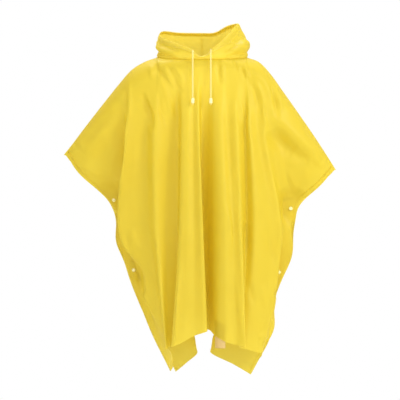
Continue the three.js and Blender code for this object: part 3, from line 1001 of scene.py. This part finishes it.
def hood_surface(turn, way):
    """Points of the hood's middle surface for each turn round the neck and way up to the rim."""
    angle = np.radians(turn)
    to_middle = np.abs(np.cos(angle))
    middle_z = np.where(np.cos(angle) > 0, FRONT["neckMiddleZ"], BACK["neckMiddleZ"])
    neck = np.stack(
        [
            NECK_WIDTH / 2 * np.sin(angle),
            -NECK_DEPTH / 2 * np.cos(angle),
            lerp(TOP_EDGE["leftZ"][0], middle_z, to_middle) + HOOD_RISE,
        ],
        axis=-1,
    )
    outward = np.stack(
        [np.sin(angle) / NECK_WIDTH, -np.cos(angle) / NECK_DEPTH, 0 * angle], axis=-1
    )
    outward /= np.linalg.norm(outward, axis=-1, keepdims=True)
    rim, bulge = rim_at(turn)
    swell = np.sin(math.pi * way**SWELL_SKEW)
    w = way[None, :, None]
    side = lerp(neck[:, None], rim[:, None], w)
    side = side + outward[:, None] * (bulge[:, None] * swell[None, :])[..., None]
    away = np.abs(turn)
    backness = smoothstep(away, POUCH_FROM, POUCH_FULL)[:, None]
    depth = smoothstep(away, POUCH_DEEPENS, POUCH_DEEP)[:, None]
    wide = 1 + POUCH_SPREAD * np.sin(math.pi * way)[None, :]
    t = way * (len(POUCH_PATH["y"]) - 1)
    sag = {
        name: along_values(column, t) - lerp(column[0], column[-1], way)
        for name, column in POUCH_PATH.items()
    }
    end_y = lerp(neck[:, 1:2], rim[:, 1:2], way[None, :])
    end_z = lerp(neck[:, 2:3], rim[:, 2:3], way[None, :])
    return np.stack(
        [
            side[..., 0] * lerp(1, wide, backness),
            lerp(side[..., 1], end_y + sag["y"][None, :], backness),
            lerp(side[..., 2], end_z + sag["z"][None, :], depth),
        ],
        axis=-1,
    )


def from_rim(points, near, far=None, rows=None):
    """Reads the columns of a grid again between two distances from their last row, evenly."""
    step = np.linalg.norm(np.diff(points, axis=1), axis=-1)
    run = np.concatenate([np.zeros((len(points), 1)), np.cumsum(step, axis=1)], axis=1)
    rows = rows or points.shape[1]
    made = np.empty((len(points), rows, 3))
    for i, (column, along) in enumerate(zip(points, run)):
        # Where the hood is low, by the throat, the band takes less of it
        most = along[-1] * 0.5
        first = 0.0 if far is None else along[-1] - min(far, most)
        places = np.linspace(first, along[-1] - min(near, most * 0.7), rows)
        for k in range(3):
            made[i, :, k] = np.interp(places, along, column[:, k])
    return made


def hood_side(side, turn_step, ways):
    """One half of the hood with its creases, its end columns drawn back from the seams."""
    count = round(180 / turn_step)
    turns = np.linspace(-180, 0, count + 1) if side < 0 else np.linspace(0, 180, count + 1)
    margin = turn_step * np.arange(1, 3)
    wide = np.concatenate([turns[0] - margin[::-1], turns, turns[-1] + margin])
    wrapped = (wide + 180) % 360 - 180
    points = hood_surface(wrapped, ways)
    normals = grid_normals(points)
    move = np.zeros(points.shape[:-1])
    for crease in rows_of(HOOD_CREASES):
        steps = np.linspace(0, 1, 9)
        crease_turns = lerp(crease["turn0"], crease["turn1"], steps)
        crease_ways = lerp(crease["way0"], crease["way1"], steps)
        path = np.array(
            [
                hood_surface(np.array([a]), np.array([b]))[0, 0]
                for a, b in zip(crease_turns, crease_ways)
            ]
        )
        move += crease["depth"] * near_path(points, path, crease["width"])
    points = points + normals * move[..., None]
    points = points[2:-2]
    for end in (0, -1):
        points[end, :, 0] = side * HALVES_GAP / 2
    return points


# Meshes


def add_object(name, vertices, faces, finish, smooth=True):
    """A mesh object from points in millimetres."""
    mesh = bpy.data.meshes.new(name)
    mesh.from_pydata((np.asarray(vertices) * MM).tolist(), [], faces)
    mesh.materials.append(material(finish))
    mesh.polygons.foreach_set("use_smooth", [smooth] * len(mesh.polygons))
    mesh.set_sharp_from_angle(angle=SHARP)
    mesh.update()
    made = bpy.data.objects.new(name, mesh)
    bpy.context.scene.collection.objects.link(made)
    return made


def shell_mesh(points, thickness, outward):
    """The points and faces of a closed thin shell about a grid of points."""
    columns, rows = points.shape[:2]
    half = thickness / 2
    skins = [points + outward * half, points - outward * half]
    vertices = np.concatenate([skin.reshape(-1, 3) for skin in skins])
    index = np.arange(columns * rows).reshape(columns, rows)
    a, b = index[:-1, :-1], index[:-1, 1:]
    c, d = index[1:, 1:], index[1:, :-1]
    quads = np.stack([a, b, c, d], axis=-1).reshape(-1, 4)
    below = columns * rows
    border = np.concatenate(
        [index[0, :], index[1:, -1], index[-1, -2::-1], index[-2:0:-1, 0]]
    )
    after = np.roll(border, -1)
    strip = np.stack([border, border + below, after + below, after], axis=-1)
    faces = np.concatenate([quads, quads[:, ::-1] + below, strip])
    # The faces point outward where the first skin does
    p, q, r = (vertices[quads[0][i]] for i in (0, 1, 2))
    if np.dot(np.cross(q - p, r - p), outward.reshape(-1, 3)[0]) < 0:
        faces = faces[:, ::-1]
    return vertices, faces.tolist()


def ring_faces(rings, sides):
    """Faces that join each ring of points to the next one."""
    faces = []
    for i in range(rings - 1):
        for j in range(sides):
            k = (j + 1) % sides
            faces.append(
                [i * sides + j, i * sides + k, (i + 1) * sides + k, (i + 1) * sides + j]
            )
    return faces


def end_faces(rings, sides):
    """The faces that close the first and the last ring."""
    last = (rings - 1) * sides
    return [list(range(sides))[::-1], list(range(last, last + sides))]


def film_shell(name, points, outward, finish="peva_film_calendered"):
    thickness = bpy.context.scene.poncho_sizes.film / MM
    vertices, faces = shell_mesh(points, thickness, outward)
    return add_object(name, vertices, faces, finish)


def keep(piece, slot, *nodes):
    """The piece rides on the garment and stands for its nodes. Its slot is not used."""
    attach(piece, ROOT)
    if nodes:
        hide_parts(*nodes)
    return piece


def tube(path, radius, sides, name, finish):
    """A round tube along a path in millimetres, with its width and run as texture places."""
    path = np.asarray(path, float)
    step = np.gradient(path, axis=0)
    step /= np.linalg.norm(step, axis=1, keepdims=True)
    side = np.cross(step[0], [0.0, 0.0, 1.0])
    if np.linalg.norm(side) < 0.1:
        side = np.cross(step[0], [1.0, 0.0, 0.0])
    rings, run = [], [0.0]
    for i, point in enumerate(path):
        side = side - step[i] * (side @ step[i])
        side /= np.linalg.norm(side)
        other = np.cross(step[i], side)
        angle = np.linspace(0, 2 * math.pi, sides, endpoint=False)
        ring = np.cos(angle)[:, None] * side + np.sin(angle)[:, None] * other
        rings.append(point + radius * ring)
        if i:
            run.append(run[-1] + np.linalg.norm(point - path[i - 1]))
    around = 2 * math.pi * radius / sides
    places = []
    for i in range(len(path) - 1):
        for j in range(sides):
            near, far = j * around, (j + 1) * around
            start, stop = run[i], run[i + 1]
            places += [(near, start), (far, start), (far, stop), (near, stop)]
    places += [(0.0, 0.0)] * (2 * sides)
    faces = ring_faces(len(path), sides) + end_faces(len(path), sides)
    made = add_object(name, np.concatenate(rings), faces, finish)
    layer = made.data.uv_layers.new(name="UVMap")
    layer.data.foreach_set("uv", (np.array(places) * MM).ravel())
    return made


def turned(name, profile, sides, place, axis, finish):
    """A turned piece: rows of radius and height along an axis through a place."""
    vertices = []
    turn = Vector((0, 0, 1)).rotation_difference(Vector(axis)).to_matrix()
    angle = np.linspace(0, 2 * math.pi, sides, endpoint=False)
    for radius, height in profile:
        for a in angle:
            local = Vector((radius * math.cos(a), radius * math.sin(a), height))
            vertices.append(tuple(Vector(place) + turn @ local))
    faces = ring_faces(len(profile), sides) + end_faces(len(profile), sides)
    return add_object(name, vertices, faces, finish)


# Sizes and colours a user may change


def size(name, description, default, least, most):
    """A length in millimetres that a user may change."""
    return FloatProperty(
        name=name,
        description=description,
        default=default * MM,
        min=least * MM,
        max=most * MM,
        subtype="DISTANCE",
        unit="LENGTH",
    )


class PonchoSizes(bpy.types.PropertyGroup):
    """Sizes of the poncho's pieces and how finely they are made"""

    film: size("Film", "Thickness of the film as it is drawn", 0.4, 0.1, 1.2)
    cord: size("Cord", "Diameter of the drawcord", 4.0, 2.0, 6.0)
    bead: size("Bead", "Diameter of the bead on each end of the drawcord", 9.0, 5.0, 14.0)
    weld: size("Weld", "Width of a heat-welded seam", 4.0, 2.0, 8.0)
    columns: IntProperty(
        name="Columns",
        description="Points across a panel",
        default=300,
        min=60,
        max=330,
    )
    rows: IntProperty(
        name="Rows",
        description="Points down a panel",
        default=150,
        min=40,
        max=160,
    )


def colour(name, description, hex_colour):
    """A colour that a user may change."""
    return FloatVectorProperty(
        name=name,
        description=description,
        default=linear(hex_colour),
        min=0.0,
        max=1.0,
        size=3,
        subtype="COLOR",
    )


class PonchoColours(bpy.types.PropertyGroup):
    """Colours of the poncho's materials and of the floor"""

    film_thin: colour("Thin film", "Colour where the film is thinnest", "F2E04A")
    film_thick: colour("Thick film", "Colour where the film is thickest", "EDD940")
    weld: colour("Weld", "Colour of a welded seam", "EBD642")
    film_through: colour("Light through film", "Colour of light that comes through", "FBF3A4")
    film_drawn: colour("Light through drawn film", "Colour of light through the casing", "FEFAD6")
    cord: colour("Cord", "Colour of the drawcord's strands", "F8E28C")
    # A painted shade: the cord's colour between its strands, where the braid sinks.
    cord_painted_shade: colour("Cord shade", "Colour between the strands", "E6CE68")
    plastic: colour("Plastic", "Colour of the beads and snaps", "F7EBA4")
    plastic_clear: colour("Clear plastic", "Colour of their clearer parts", "FBF2B8")
    tape: colour("Tape", "Colour of the label's tape", "E2C27A")
    # A painted shade: the tape's colour between its ribs, where the weave sinks.
    tape_painted_shade: colour("Tape shade", "Colour between the tape's ribs", "D8B468")
    floor: colour("Floor", "Colour of the floor", "F4F3F0")


# Steps


class PONCHO_OT_stage(bpy.types.Operator):
    """Sets the camera at the viewing angle, with soft studio light and a pale floor"""

    bl_idname = "poncho.stage"
    bl_label = "Camera, Light and Floor"

    CAMERA = (-5.5, -5000, -387.75)
    SEEN = 1100  # millimetres across the picture at the garment
    FLOOR_Z = -1078
    FLOOR_RADIUS = 1100
    FLOOR_SIDES = 96
    LIGHT_IN_FRONT = 1.15
    LIGHT_BEHIND = 0.55
    AIM = (0, 0, -350)

    def execute(self, context):
        scene = context.scene
        scene.view_settings.view_transform = "Standard"
        data = bpy.data.cameras.new("camera")
        data.sensor_width = 36
        data.lens = data.sensor_width * -self.CAMERA[1] / self.SEEN
        camera = bpy.data.objects.new("camera", data)
        camera.location = Vector(self.CAMERA) * MM
        camera.rotation_euler = (math.radians(90), 0, 0)
        scene.collection.objects.link(camera)
        scene.camera = camera

        scene.world = self.studio()

        lights = table(
            "x y z size watts",
            [
                [0, -5600, -100, 3.0, 10],
                [2700, -2300, 1100, 1.0, 56],
                [-100, 900, 1500, 1.2, 28],
            ],
        )
        for number, light in enumerate(rows_of(lights)):
            lamp = bpy.data.lights.new(f"softbox_{number}", "AREA")
            lamp.size = light["size"]
            lamp.energy = light["watts"]
            holder = bpy.data.objects.new(lamp.name, lamp)
            place = Vector((light["x"], light["y"], light["z"])) * MM
            aim = Vector(self.AIM) * MM - place
            holder.location = place
            holder.rotation_euler = aim.to_track_quat("-Z", "Y").to_euler()
            scene.collection.objects.link(holder)

        count = self.FLOOR_SIDES
        angle = np.linspace(0, 2 * math.pi, count, endpoint=False)
        rings = [
            np.stack(
                [
                    radius * np.cos(angle),
                    radius * np.sin(angle),
                    np.full(count, self.FLOOR_Z - drop),
                ],
                axis=-1,
            )
            for radius, drop in (
                (self.FLOOR_RADIUS * 0.985, 0),
                (self.FLOOR_RADIUS, 4),
                (self.FLOOR_RADIUS, 20),
            )
        ]
        faces = [list(range(count))]
        faces += [face[::-1] for face in ring_faces(len(rings), count)]
        floor = add_object("floor", np.concatenate(rings), faces, "emulsion_rolled")
        return {"FINISHED"}

    def studio(self):
        """A white studio. It gives its full light in front and less of it behind the garment."""
        world = bpy.data.worlds.new("studio")
        world.use_nodes = True
        tree = world.node_tree
        tree.nodes.clear()
        towards = add_node(tree, "ShaderNodeTexCoord", {}, {}).outputs["Generated"]
        back = add_node(tree, "ShaderNodeSeparateXYZ", {}, {"Vector": towards}).outputs["Y"]
        strength = add_node(
            tree,
            "ShaderNodeMapRange",
            {},
            {
                "Value": back,
                "From Min": -1.0,
                "To Min": self.LIGHT_IN_FRONT,
                "To Max": self.LIGHT_BEHIND,
            },
        )
        fill = add_node(
            tree,
            "ShaderNodeBackground",
            {},
            {"Color": (1, 1, 1, 1), "Strength": strength.outputs["Result"]},
        )
        white = add_node(
            tree, "ShaderNodeBackground", {}, {"Color": (1, 1, 1, 1), "Strength": 1.0}
        )
        seen = add_node(tree, "ShaderNodeLightPath", {}, {}).outputs["Is Camera Ray"]
        both = add_node(
            tree,
            "ShaderNodeMixShader",
            {},
            {0: seen, 1: fill.outputs["Background"], 2: white.outputs["Background"]},
        )
        add_node(tree, "ShaderNodeOutputWorld", {}, {"Surface": both.outputs["Shader"]})
        return world


def fine_route(route, count=24):
    """The same smooth curve that the solids follow, with more points."""
    route = np.array(route, float)
    t = np.linspace(0, len(route) - 1, count)
    return np.stack([along_values(route[:, i], t) for i in range(3)], axis=-1)


class PONCHO_OT_drawcord(bpy.types.Operator):
    """Makes the two free ends of the drawcord, each with its bead and knot"""

    bl_idname = "poncho.drawcord"
    bl_label = "Drawcord"

    BEAD_LENGTH = 15
    KNOT_BELOW = 2.6  # middle of the knot below the bead
    KNOT_LOOP = 0.62  # a third of the knot's radius
    KNOT_STRAND = 0.72  # radius of the cord, pulled thin where it is knotted

    def execute(self, context):
        sizes = context.scene.poncho_sizes
        for suffix, route in CORD_ROUTES.items():
            path = fine_route(route)
            node = f"drawcord_{suffix}"
            cord = tube(
                path,
                sizes.cord / MM / 2,
                16,
                f"cord_{suffix}",
                "polyester_cord_braided",
            )
            keep(cord, "cord", node)
            bead = self.bead(suffix, path[-1], sizes.bead / MM / 2)
            knot = self.knot(suffix, path[-1])
        return {"FINISHED"}

    def bead(self, suffix, end, radius):
        length = self.BEAD_LENGTH
        profile = [
            [radius * 0.3, -length - 0.2],
            [radius * 0.62, -length],
            [radius * 0.84, -length + 0.35],
            [radius * 0.96, -length + 1.2],
            [radius, -length + 2.4],
            [radius, -5.2],
            [radius * 0.97, -3.6],
            [radius * 0.9, -2.4],
            [radius * 0.82, -1.5],
            [radius * 0.72, -0.7],
            [radius * 0.6, -0.15],
            [radius * 0.5, 0],
            [radius * 0.42, -0.5],
        ]
        place = end + np.array([0, 0, -SEAM_GAP])
        made = turned(
            f"bead_{suffix}", profile, 40, place, (0, 0, 1), "ldpe_moulded"
        )
        return keep(made, "bead", f"cord_end_{suffix}")

    def knot(self, suffix, end):
        """A small overhand knot, tied close under the bead."""
        drop = SEAM_GAP + self.BEAD_LENGTH + self.KNOT_BELOW
        middle = end - np.array([0, 0, drop])
        t = np.linspace(0, 2 * math.pi, 61)[:-3]  # open by a little, where its two ends meet
        path = middle + self.KNOT_LOOP * np.stack(
            [
                np.sin(t) + 2 * np.sin(2 * t),
                np.cos(t) - 2 * np.cos(2 * t),
                -1.3 * np.sin(3 * t),
            ],
            axis=-1,
        )
        name = f"knot_{suffix}"
        made = tube(path, self.KNOT_STRAND, 10, name, "polyester_cord_braided")
        return keep(made, "cord")


class PONCHO_OT_panels(bpy.types.Operator):
    """Makes the front and the back, each one width of film hung in its folds"""

    bl_idname = "poncho.panels"
    bl_label = "Front and Back"

    CUT = (1.016, 0.745)
    NECK_CUT = 0.016  # square metres
    ROW_CROWD = 1.08  # the rows lie a little closer at the shoulder than at the hem
    WELD_INSET = 12.0
    WELD_RISE = [0.05, 0.25, 0.1, 0.25, 0.05]

    def execute(self, context):
        sizes = context.scene.poncho_sizes
        snaps = list(snap_places().values())
        for panel in (FRONT, BACK):
            fold = spread_folds(panel, sizes.columns)
            down = np.linspace(0, 1, sizes.rows) ** self.ROW_CROWD
            points = panel_surface(panel, fold, down, snaps)
            points = press_creases(panel, points, down)
            outward = panel_normals(panel, points)
            piece = film_shell(f"{panel['name']}_film", points, outward)
            keep(piece, "film", panel["name"])
            welds = self.side_welds(panel, snaps)
        return {"FINISHED"}

    def side_welds(self, panel, snaps):
        """The hem of each side edge is held by a narrow ribbed weld."""
        sizes = bpy.context.scene.poncho_sizes
        half_width = self.CUT[0] / MM / 2
        width = sizes.weld / MM
        rise = np.array(self.WELD_RISE)
        across = panel["folds"]["across"]
        vertices, faces = [], []
        down = np.linspace(0.02, 0.995, 260)
        for side in (-1, 1):
            reach = self.WELD_INSET + width * np.linspace(0, 1, len(rise))
            away = 1 - reach / half_width
            fold = np.interp(side * away, across, np.arange(len(across)))
            points = panel_surface(panel, fold, down, snaps)
            points = press_creases(panel, points, down)
            # The strip's columns run inward from the edge, so on the right they run backward
            outward = panel_normals(panel, points) * -side
            lift = SEAM_GAP + rise[:, None, None]
            made, quads = shell_mesh(points + outward * lift, WELD_FILM, outward)
            faces += [[i + len(vertices) for i in quad] for quad in quads]
            vertices += made.tolist()
        piece = add_object(
            f"{panel['name']}_side_welds", vertices, faces, "peva_film_welded"
        )
        return keep(piece, "film")


class PONCHO_OT_hood(bpy.types.Operator):
    """Makes the two halves of the hood and the casing along its face edge"""

    bl_idname = "poncho.hood"
    bl_label = "Hood"

    HALF_CUT = (0.33, 0.36)
    HALF_AREA = 0.066  # square metres
    TURN_STEP = 1.5
    WAYS = 161
    CASING = 20.0  # width of the turned band
    CASING_ROWS = 30
    CASING_WITHIN = 0.5  # way from which the band's rows are read
    RIM_GAP = 0.8  # the hood's film ends this far from the rim, under the band
    RIM_ROLL = 6.0  # the cord fills the casing this far from the rim
    ROLL_RADIUS = 5.0
    ROLL_RISE = 1.6
    WELD_LINE = 16.0
    WELD_PRESS = 0.35
    WELD_REACH = 1.5
    GATHER = 0.35  # height of the small gathers along the cord
    GATHER_REACH = 7.0
    GATHER_PITCHES = (3.1, 8.3)  # each turns through one radian in this many millimetres
    RISE_AT_RIM, RISE_AT_WELD = 1.1, 0.9  # height of the casing over the hood's film

    def execute(self, context):
        for suffix, side in (("left", -1), ("right", 1)):
            points = hood_side(side, self.TURN_STEP, np.linspace(0, 1, self.WAYS))
            points = from_rim(points, self.RIM_GAP)
            half = film_shell(f"hood_{suffix}_film", points, grid_normals(points))
            keep(half, "film", f"hood_{suffix}")
            ways = np.linspace(self.CASING_WITHIN, 1, self.WAYS)
            points = hood_side(side, self.TURN_STEP, ways)
            points = from_rim(points, 0, self.CASING, self.CASING_ROWS)
            lift = self.casing_lift(points)
            points = points + grid_normals(points) * lift[..., None]
            casing = film_shell(
                f"casing_{suffix}_film", points, grid_normals(points), "peva_film_turned"
            )
            keep(casing, "film", f"casing_{suffix}")
        return {"FINISHED"}

    def casing_lift(self, points):
        """Lifts the casing over the hood, round the cord, with small gathers along it."""
        step = np.linalg.norm(np.diff(points, axis=1), axis=-1)
        off_rim = np.concatenate(
            [np.cumsum(step[:, ::-1], axis=1)[:, ::-1], np.zeros((len(points), 1))],
            axis=1,
        )
        roll = self.ROLL_RISE * bell((off_rim - self.RIM_ROLL) / self.ROLL_RADIUS)
        weld = -self.WELD_PRESS * bell((off_rim - self.WELD_LINE) / self.WELD_REACH)
        along = np.cumsum(
            np.linalg.norm(np.diff(points[:, -1], axis=0, prepend=points[:1, -1]), axis=-1)
        )[:, None]
        short, long = self.GATHER_PITCHES
        gather = self.GATHER * np.sin(along / short) * np.sin(along / long + 1.0)
        gather = gather * bell((off_rim - self.WELD_LINE * 0.75) / self.GATHER_REACH)
        towards_weld = smoothstep(off_rim, self.RIM_ROLL, self.WELD_LINE)
        base = lerp(self.RISE_AT_RIM, self.RISE_AT_WELD, towards_weld)
        return base + roll + weld + gather


class PONCHO_OT_seams(bpy.types.Operator):
    """Makes the welds that join the hood to the panels and its halves to each other"""

    bl_idname = "poncho.seams"
    bl_label = "Neck and Crown Welds"

    PUCKER = 0.25  # height of the puckers along the neck weld
    PUCKER_PITCHES = (1.9, 7.3)  # in degrees of turn to a radian
    OFF_FOOT = 0.7  # the flange starts this far out from the hood's foot
    OFF_PANEL = 0.5
    CROWN_TO = 0.94  # way at which the crown weld goes under the casing
    CROWN_RISE = [0.1, 0.6, 0.2, 0.6, 0.1]

    def execute(self, context):
        width = context.scene.poncho_sizes.weld / MM
        # Round the neck: a flange out over the panels and up the hood's foot
        turns = np.linspace(-180, 180, 361)
        angle = np.radians(turns)
        foot = hood_surface(turns, np.array([0.0, 0.01]))
        outward = np.stack([np.sin(angle), -np.cos(angle), 0 * angle], axis=-1)
        up = foot[:, 1] - foot[:, 0]
        up = up / np.linalg.norm(up, axis=-1, keepdims=True)
        short, long = self.PUCKER_PITCHES
        puckers = self.PUCKER * np.sin(turns / short) * np.sin(turns / long)
        skyward = np.array([0, 0, 1])
        flange = [
            foot[:, 0] + outward * (self.OFF_FOOT + (width - self.OFF_FOOT) * share)
            - skyward * (0.1 * width * share**2)
            + skyward * (self.OFF_PANEL + lift + puckers[:, None] * share)
            for share, lift in ((1.0, 0.0), (0.66, 0.35), (0.33, 0.05))
        ]
        rolled = [foot[:, 0] + outward * 0.75 + up * 0.75]
        raised = [
            foot[:, 0] + up * (width * share) + outward * (0.55 + lift)
            for share, lift in ((0.3, 0.05), (0.4, 0.2), (0.5, 0.0))
        ]
        points = np.stack(flange + rolled + raised, axis=1)
        vertices, faces = shell_mesh(points, WELD_FILM, grid_normals(points))
        neck = add_object("neck_weld", vertices, faces, "peva_film_welded")
        keep(neck, "film")
        # Down the middle of the back of the hood, from the casing to the neck
        rise = np.array(self.CROWN_RISE)
        ways = np.linspace(0.01, self.CROWN_TO, 161)
        spans = np.linspace(-width / 4, width / 4, len(rise))
        middle = hood_surface(np.array([180.0]), ways)[0]
        normal = grid_normals(hood_surface(np.array([176.0, 178.0, 180.0]), ways))[-1]
        points = np.stack(
            [middle + np.array([span, 0, 0]) for span in spans], axis=0
        )
        facing = np.broadcast_to(normal, points.shape)
        lift = (SEAM_GAP + rise)[:, None, None]
        vertices, faces = shell_mesh(points + facing * lift, WELD_FILM, facing)
        crown = add_object("crown_weld", vertices, faces, "peva_film_welded")
        keep(crown, "film")
        return {"FINISHED"}


class PONCHO_OT_snaps(bpy.types.Operator):
    """Makes the press snaps that hold the front and back together at the sides"""

    bl_idname = "poncho.snaps"
    bl_label = "Snaps"

    def execute(self, context):
        for name in SNAPS:
            for part, facing in (("cap", -1), ("back", 1)):
                self.snap_cap(f"{name}_{part}", facing)
            socket = bpy.data.objects[f"{name}_socket"]
            socket.data.materials.clear()
            socket.data.materials.append(material("ldpe_moulded"))
        return {"FINISHED"}

    def snap_cap(self, node, facing):
        low, high = (np.array(corner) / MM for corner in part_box(node))
        middle = (low + high) / 2
        middle[1] = high[1] if facing < 0 else low[1]
        radius = (high[0] - low[0]) / 2
        height = high[1] - low[1]
        profile = [
            [radius * 0.9, 0],
            [radius * 0.98, height * 0.1],
            [radius, height * 0.28],
            [radius * 0.97, height * 0.5],
            [radius * 0.9, height * 0.68],
            [radius * 0.8, height * 0.78],
            [radius * 0.74, height * 0.72],
            [radius * 0.66, height * 0.7],
            [radius * 0.52, height * 0.84],
            [radius * 0.34, height * 0.95],
            [radius * 0.14, height],
            [radius * 0.03, height],
        ]
        made = turned(
            f"{node}_moulded", profile, 40, middle, (0, facing, 0), "ldpe_moulded"
        )
        keep(made, "snap", node)


class PONCHO_OT_label(bpy.types.Operator):
    """Makes the small blank label under the front hem"""

    bl_idname = "poncho.label"
    bl_label = "Label"

    FIRST, LAST = 16, 17  # fold places between which the label hangs
    FROM = 0.945  # share of the front's length at which it is fixed
    FOOT = -786
    INSIDE = 1.4
    SWAY = 0.9
    TAPE = 0.6
    COLUMNS, ROWS, TAIL_ROWS = 15, 8, 8
    CUT = (0.034, 0.074)

    def execute(self, context):
        snaps = list(snap_places().values())
        fold = np.linspace(self.FIRST, self.LAST, self.COLUMNS)
        down = np.linspace(self.FROM, 1, self.ROWS)
        points = panel_surface(FRONT, fold, down, snaps)
        outward = panel_normals(FRONT, points)
        points = points - outward * self.INSIDE
        tail = []
        foot = points[:, -1].copy()
        for t in np.linspace(0, 1, self.TAIL_ROWS + 1)[1:]:
            row = foot.copy()
            row[:, 2] = lerp(foot[:, 2], self.FOOT, t)
            row[:, 1] += self.SWAY * np.sin(t * math.pi * 0.8)
            tail.append(row)
        points = np.concatenate([points, np.stack(tail, axis=1)], axis=1)
        outward = panel_normals(FRONT, points)
        vertices, faces = shell_mesh(points, self.TAPE, outward)
        piece = add_object("label_tape", vertices, faces, "polyester_tape_woven")
        keep(piece, "label", "hem_label")
        return {"FINISHED"}


class PONCHO_PT_panel(bpy.types.Panel):
    """Lists the steps that make the poncho, with its sizes and colours"""

    bl_label = "Hooded Rain Poncho"
    bl_idname = "PONCHO_PT_panel"
    bl_space_type = "VIEW_3D"
    bl_region_type = "UI"
    bl_category = "Poncho"

    def draw(self, context):
        for step in STEPS:
            self.layout.operator(step.bl_idname)
        for group in (context.scene.poncho_sizes, context.scene.poncho_colours):
            box = self.layout.box()
            for name in group.__annotations__:
                box.prop(group, name)


STEPS = (
    PONCHO_OT_stage,
    PONCHO_OT_drawcord,
    PONCHO_OT_panels,
    PONCHO_OT_hood,
    PONCHO_OT_seams,
    PONCHO_OT_snaps,
    PONCHO_OT_label,
)
CLASSES = (PonchoSizes, PonchoColours, *STEPS, PONCHO_PT_panel)


def register():
    for made in CLASSES:
        bpy.utils.register_class(made)
    bpy.types.Scene.poncho_sizes = PointerProperty(type=PonchoSizes)
    bpy.types.Scene.poncho_colours = PointerProperty(type=PonchoColours)


def unregister():
    del bpy.types.Scene.poncho_colours
    del bpy.types.Scene.poncho_sizes
    for made in reversed(CLASSES):
        bpy.utils.unregister_class(made)


def main():
    """Makes the poncho step by step."""
    register()
    bpy.ops.poncho.stage()
    bpy.ops.poncho.drawcord()
    bpy.ops.poncho.panels()
    bpy.ops.poncho.hood()
    bpy.ops.poncho.seams()
    bpy.ops.poncho.snaps()
    bpy.ops.poncho.label()


if __name__ == "__main__":
    main()
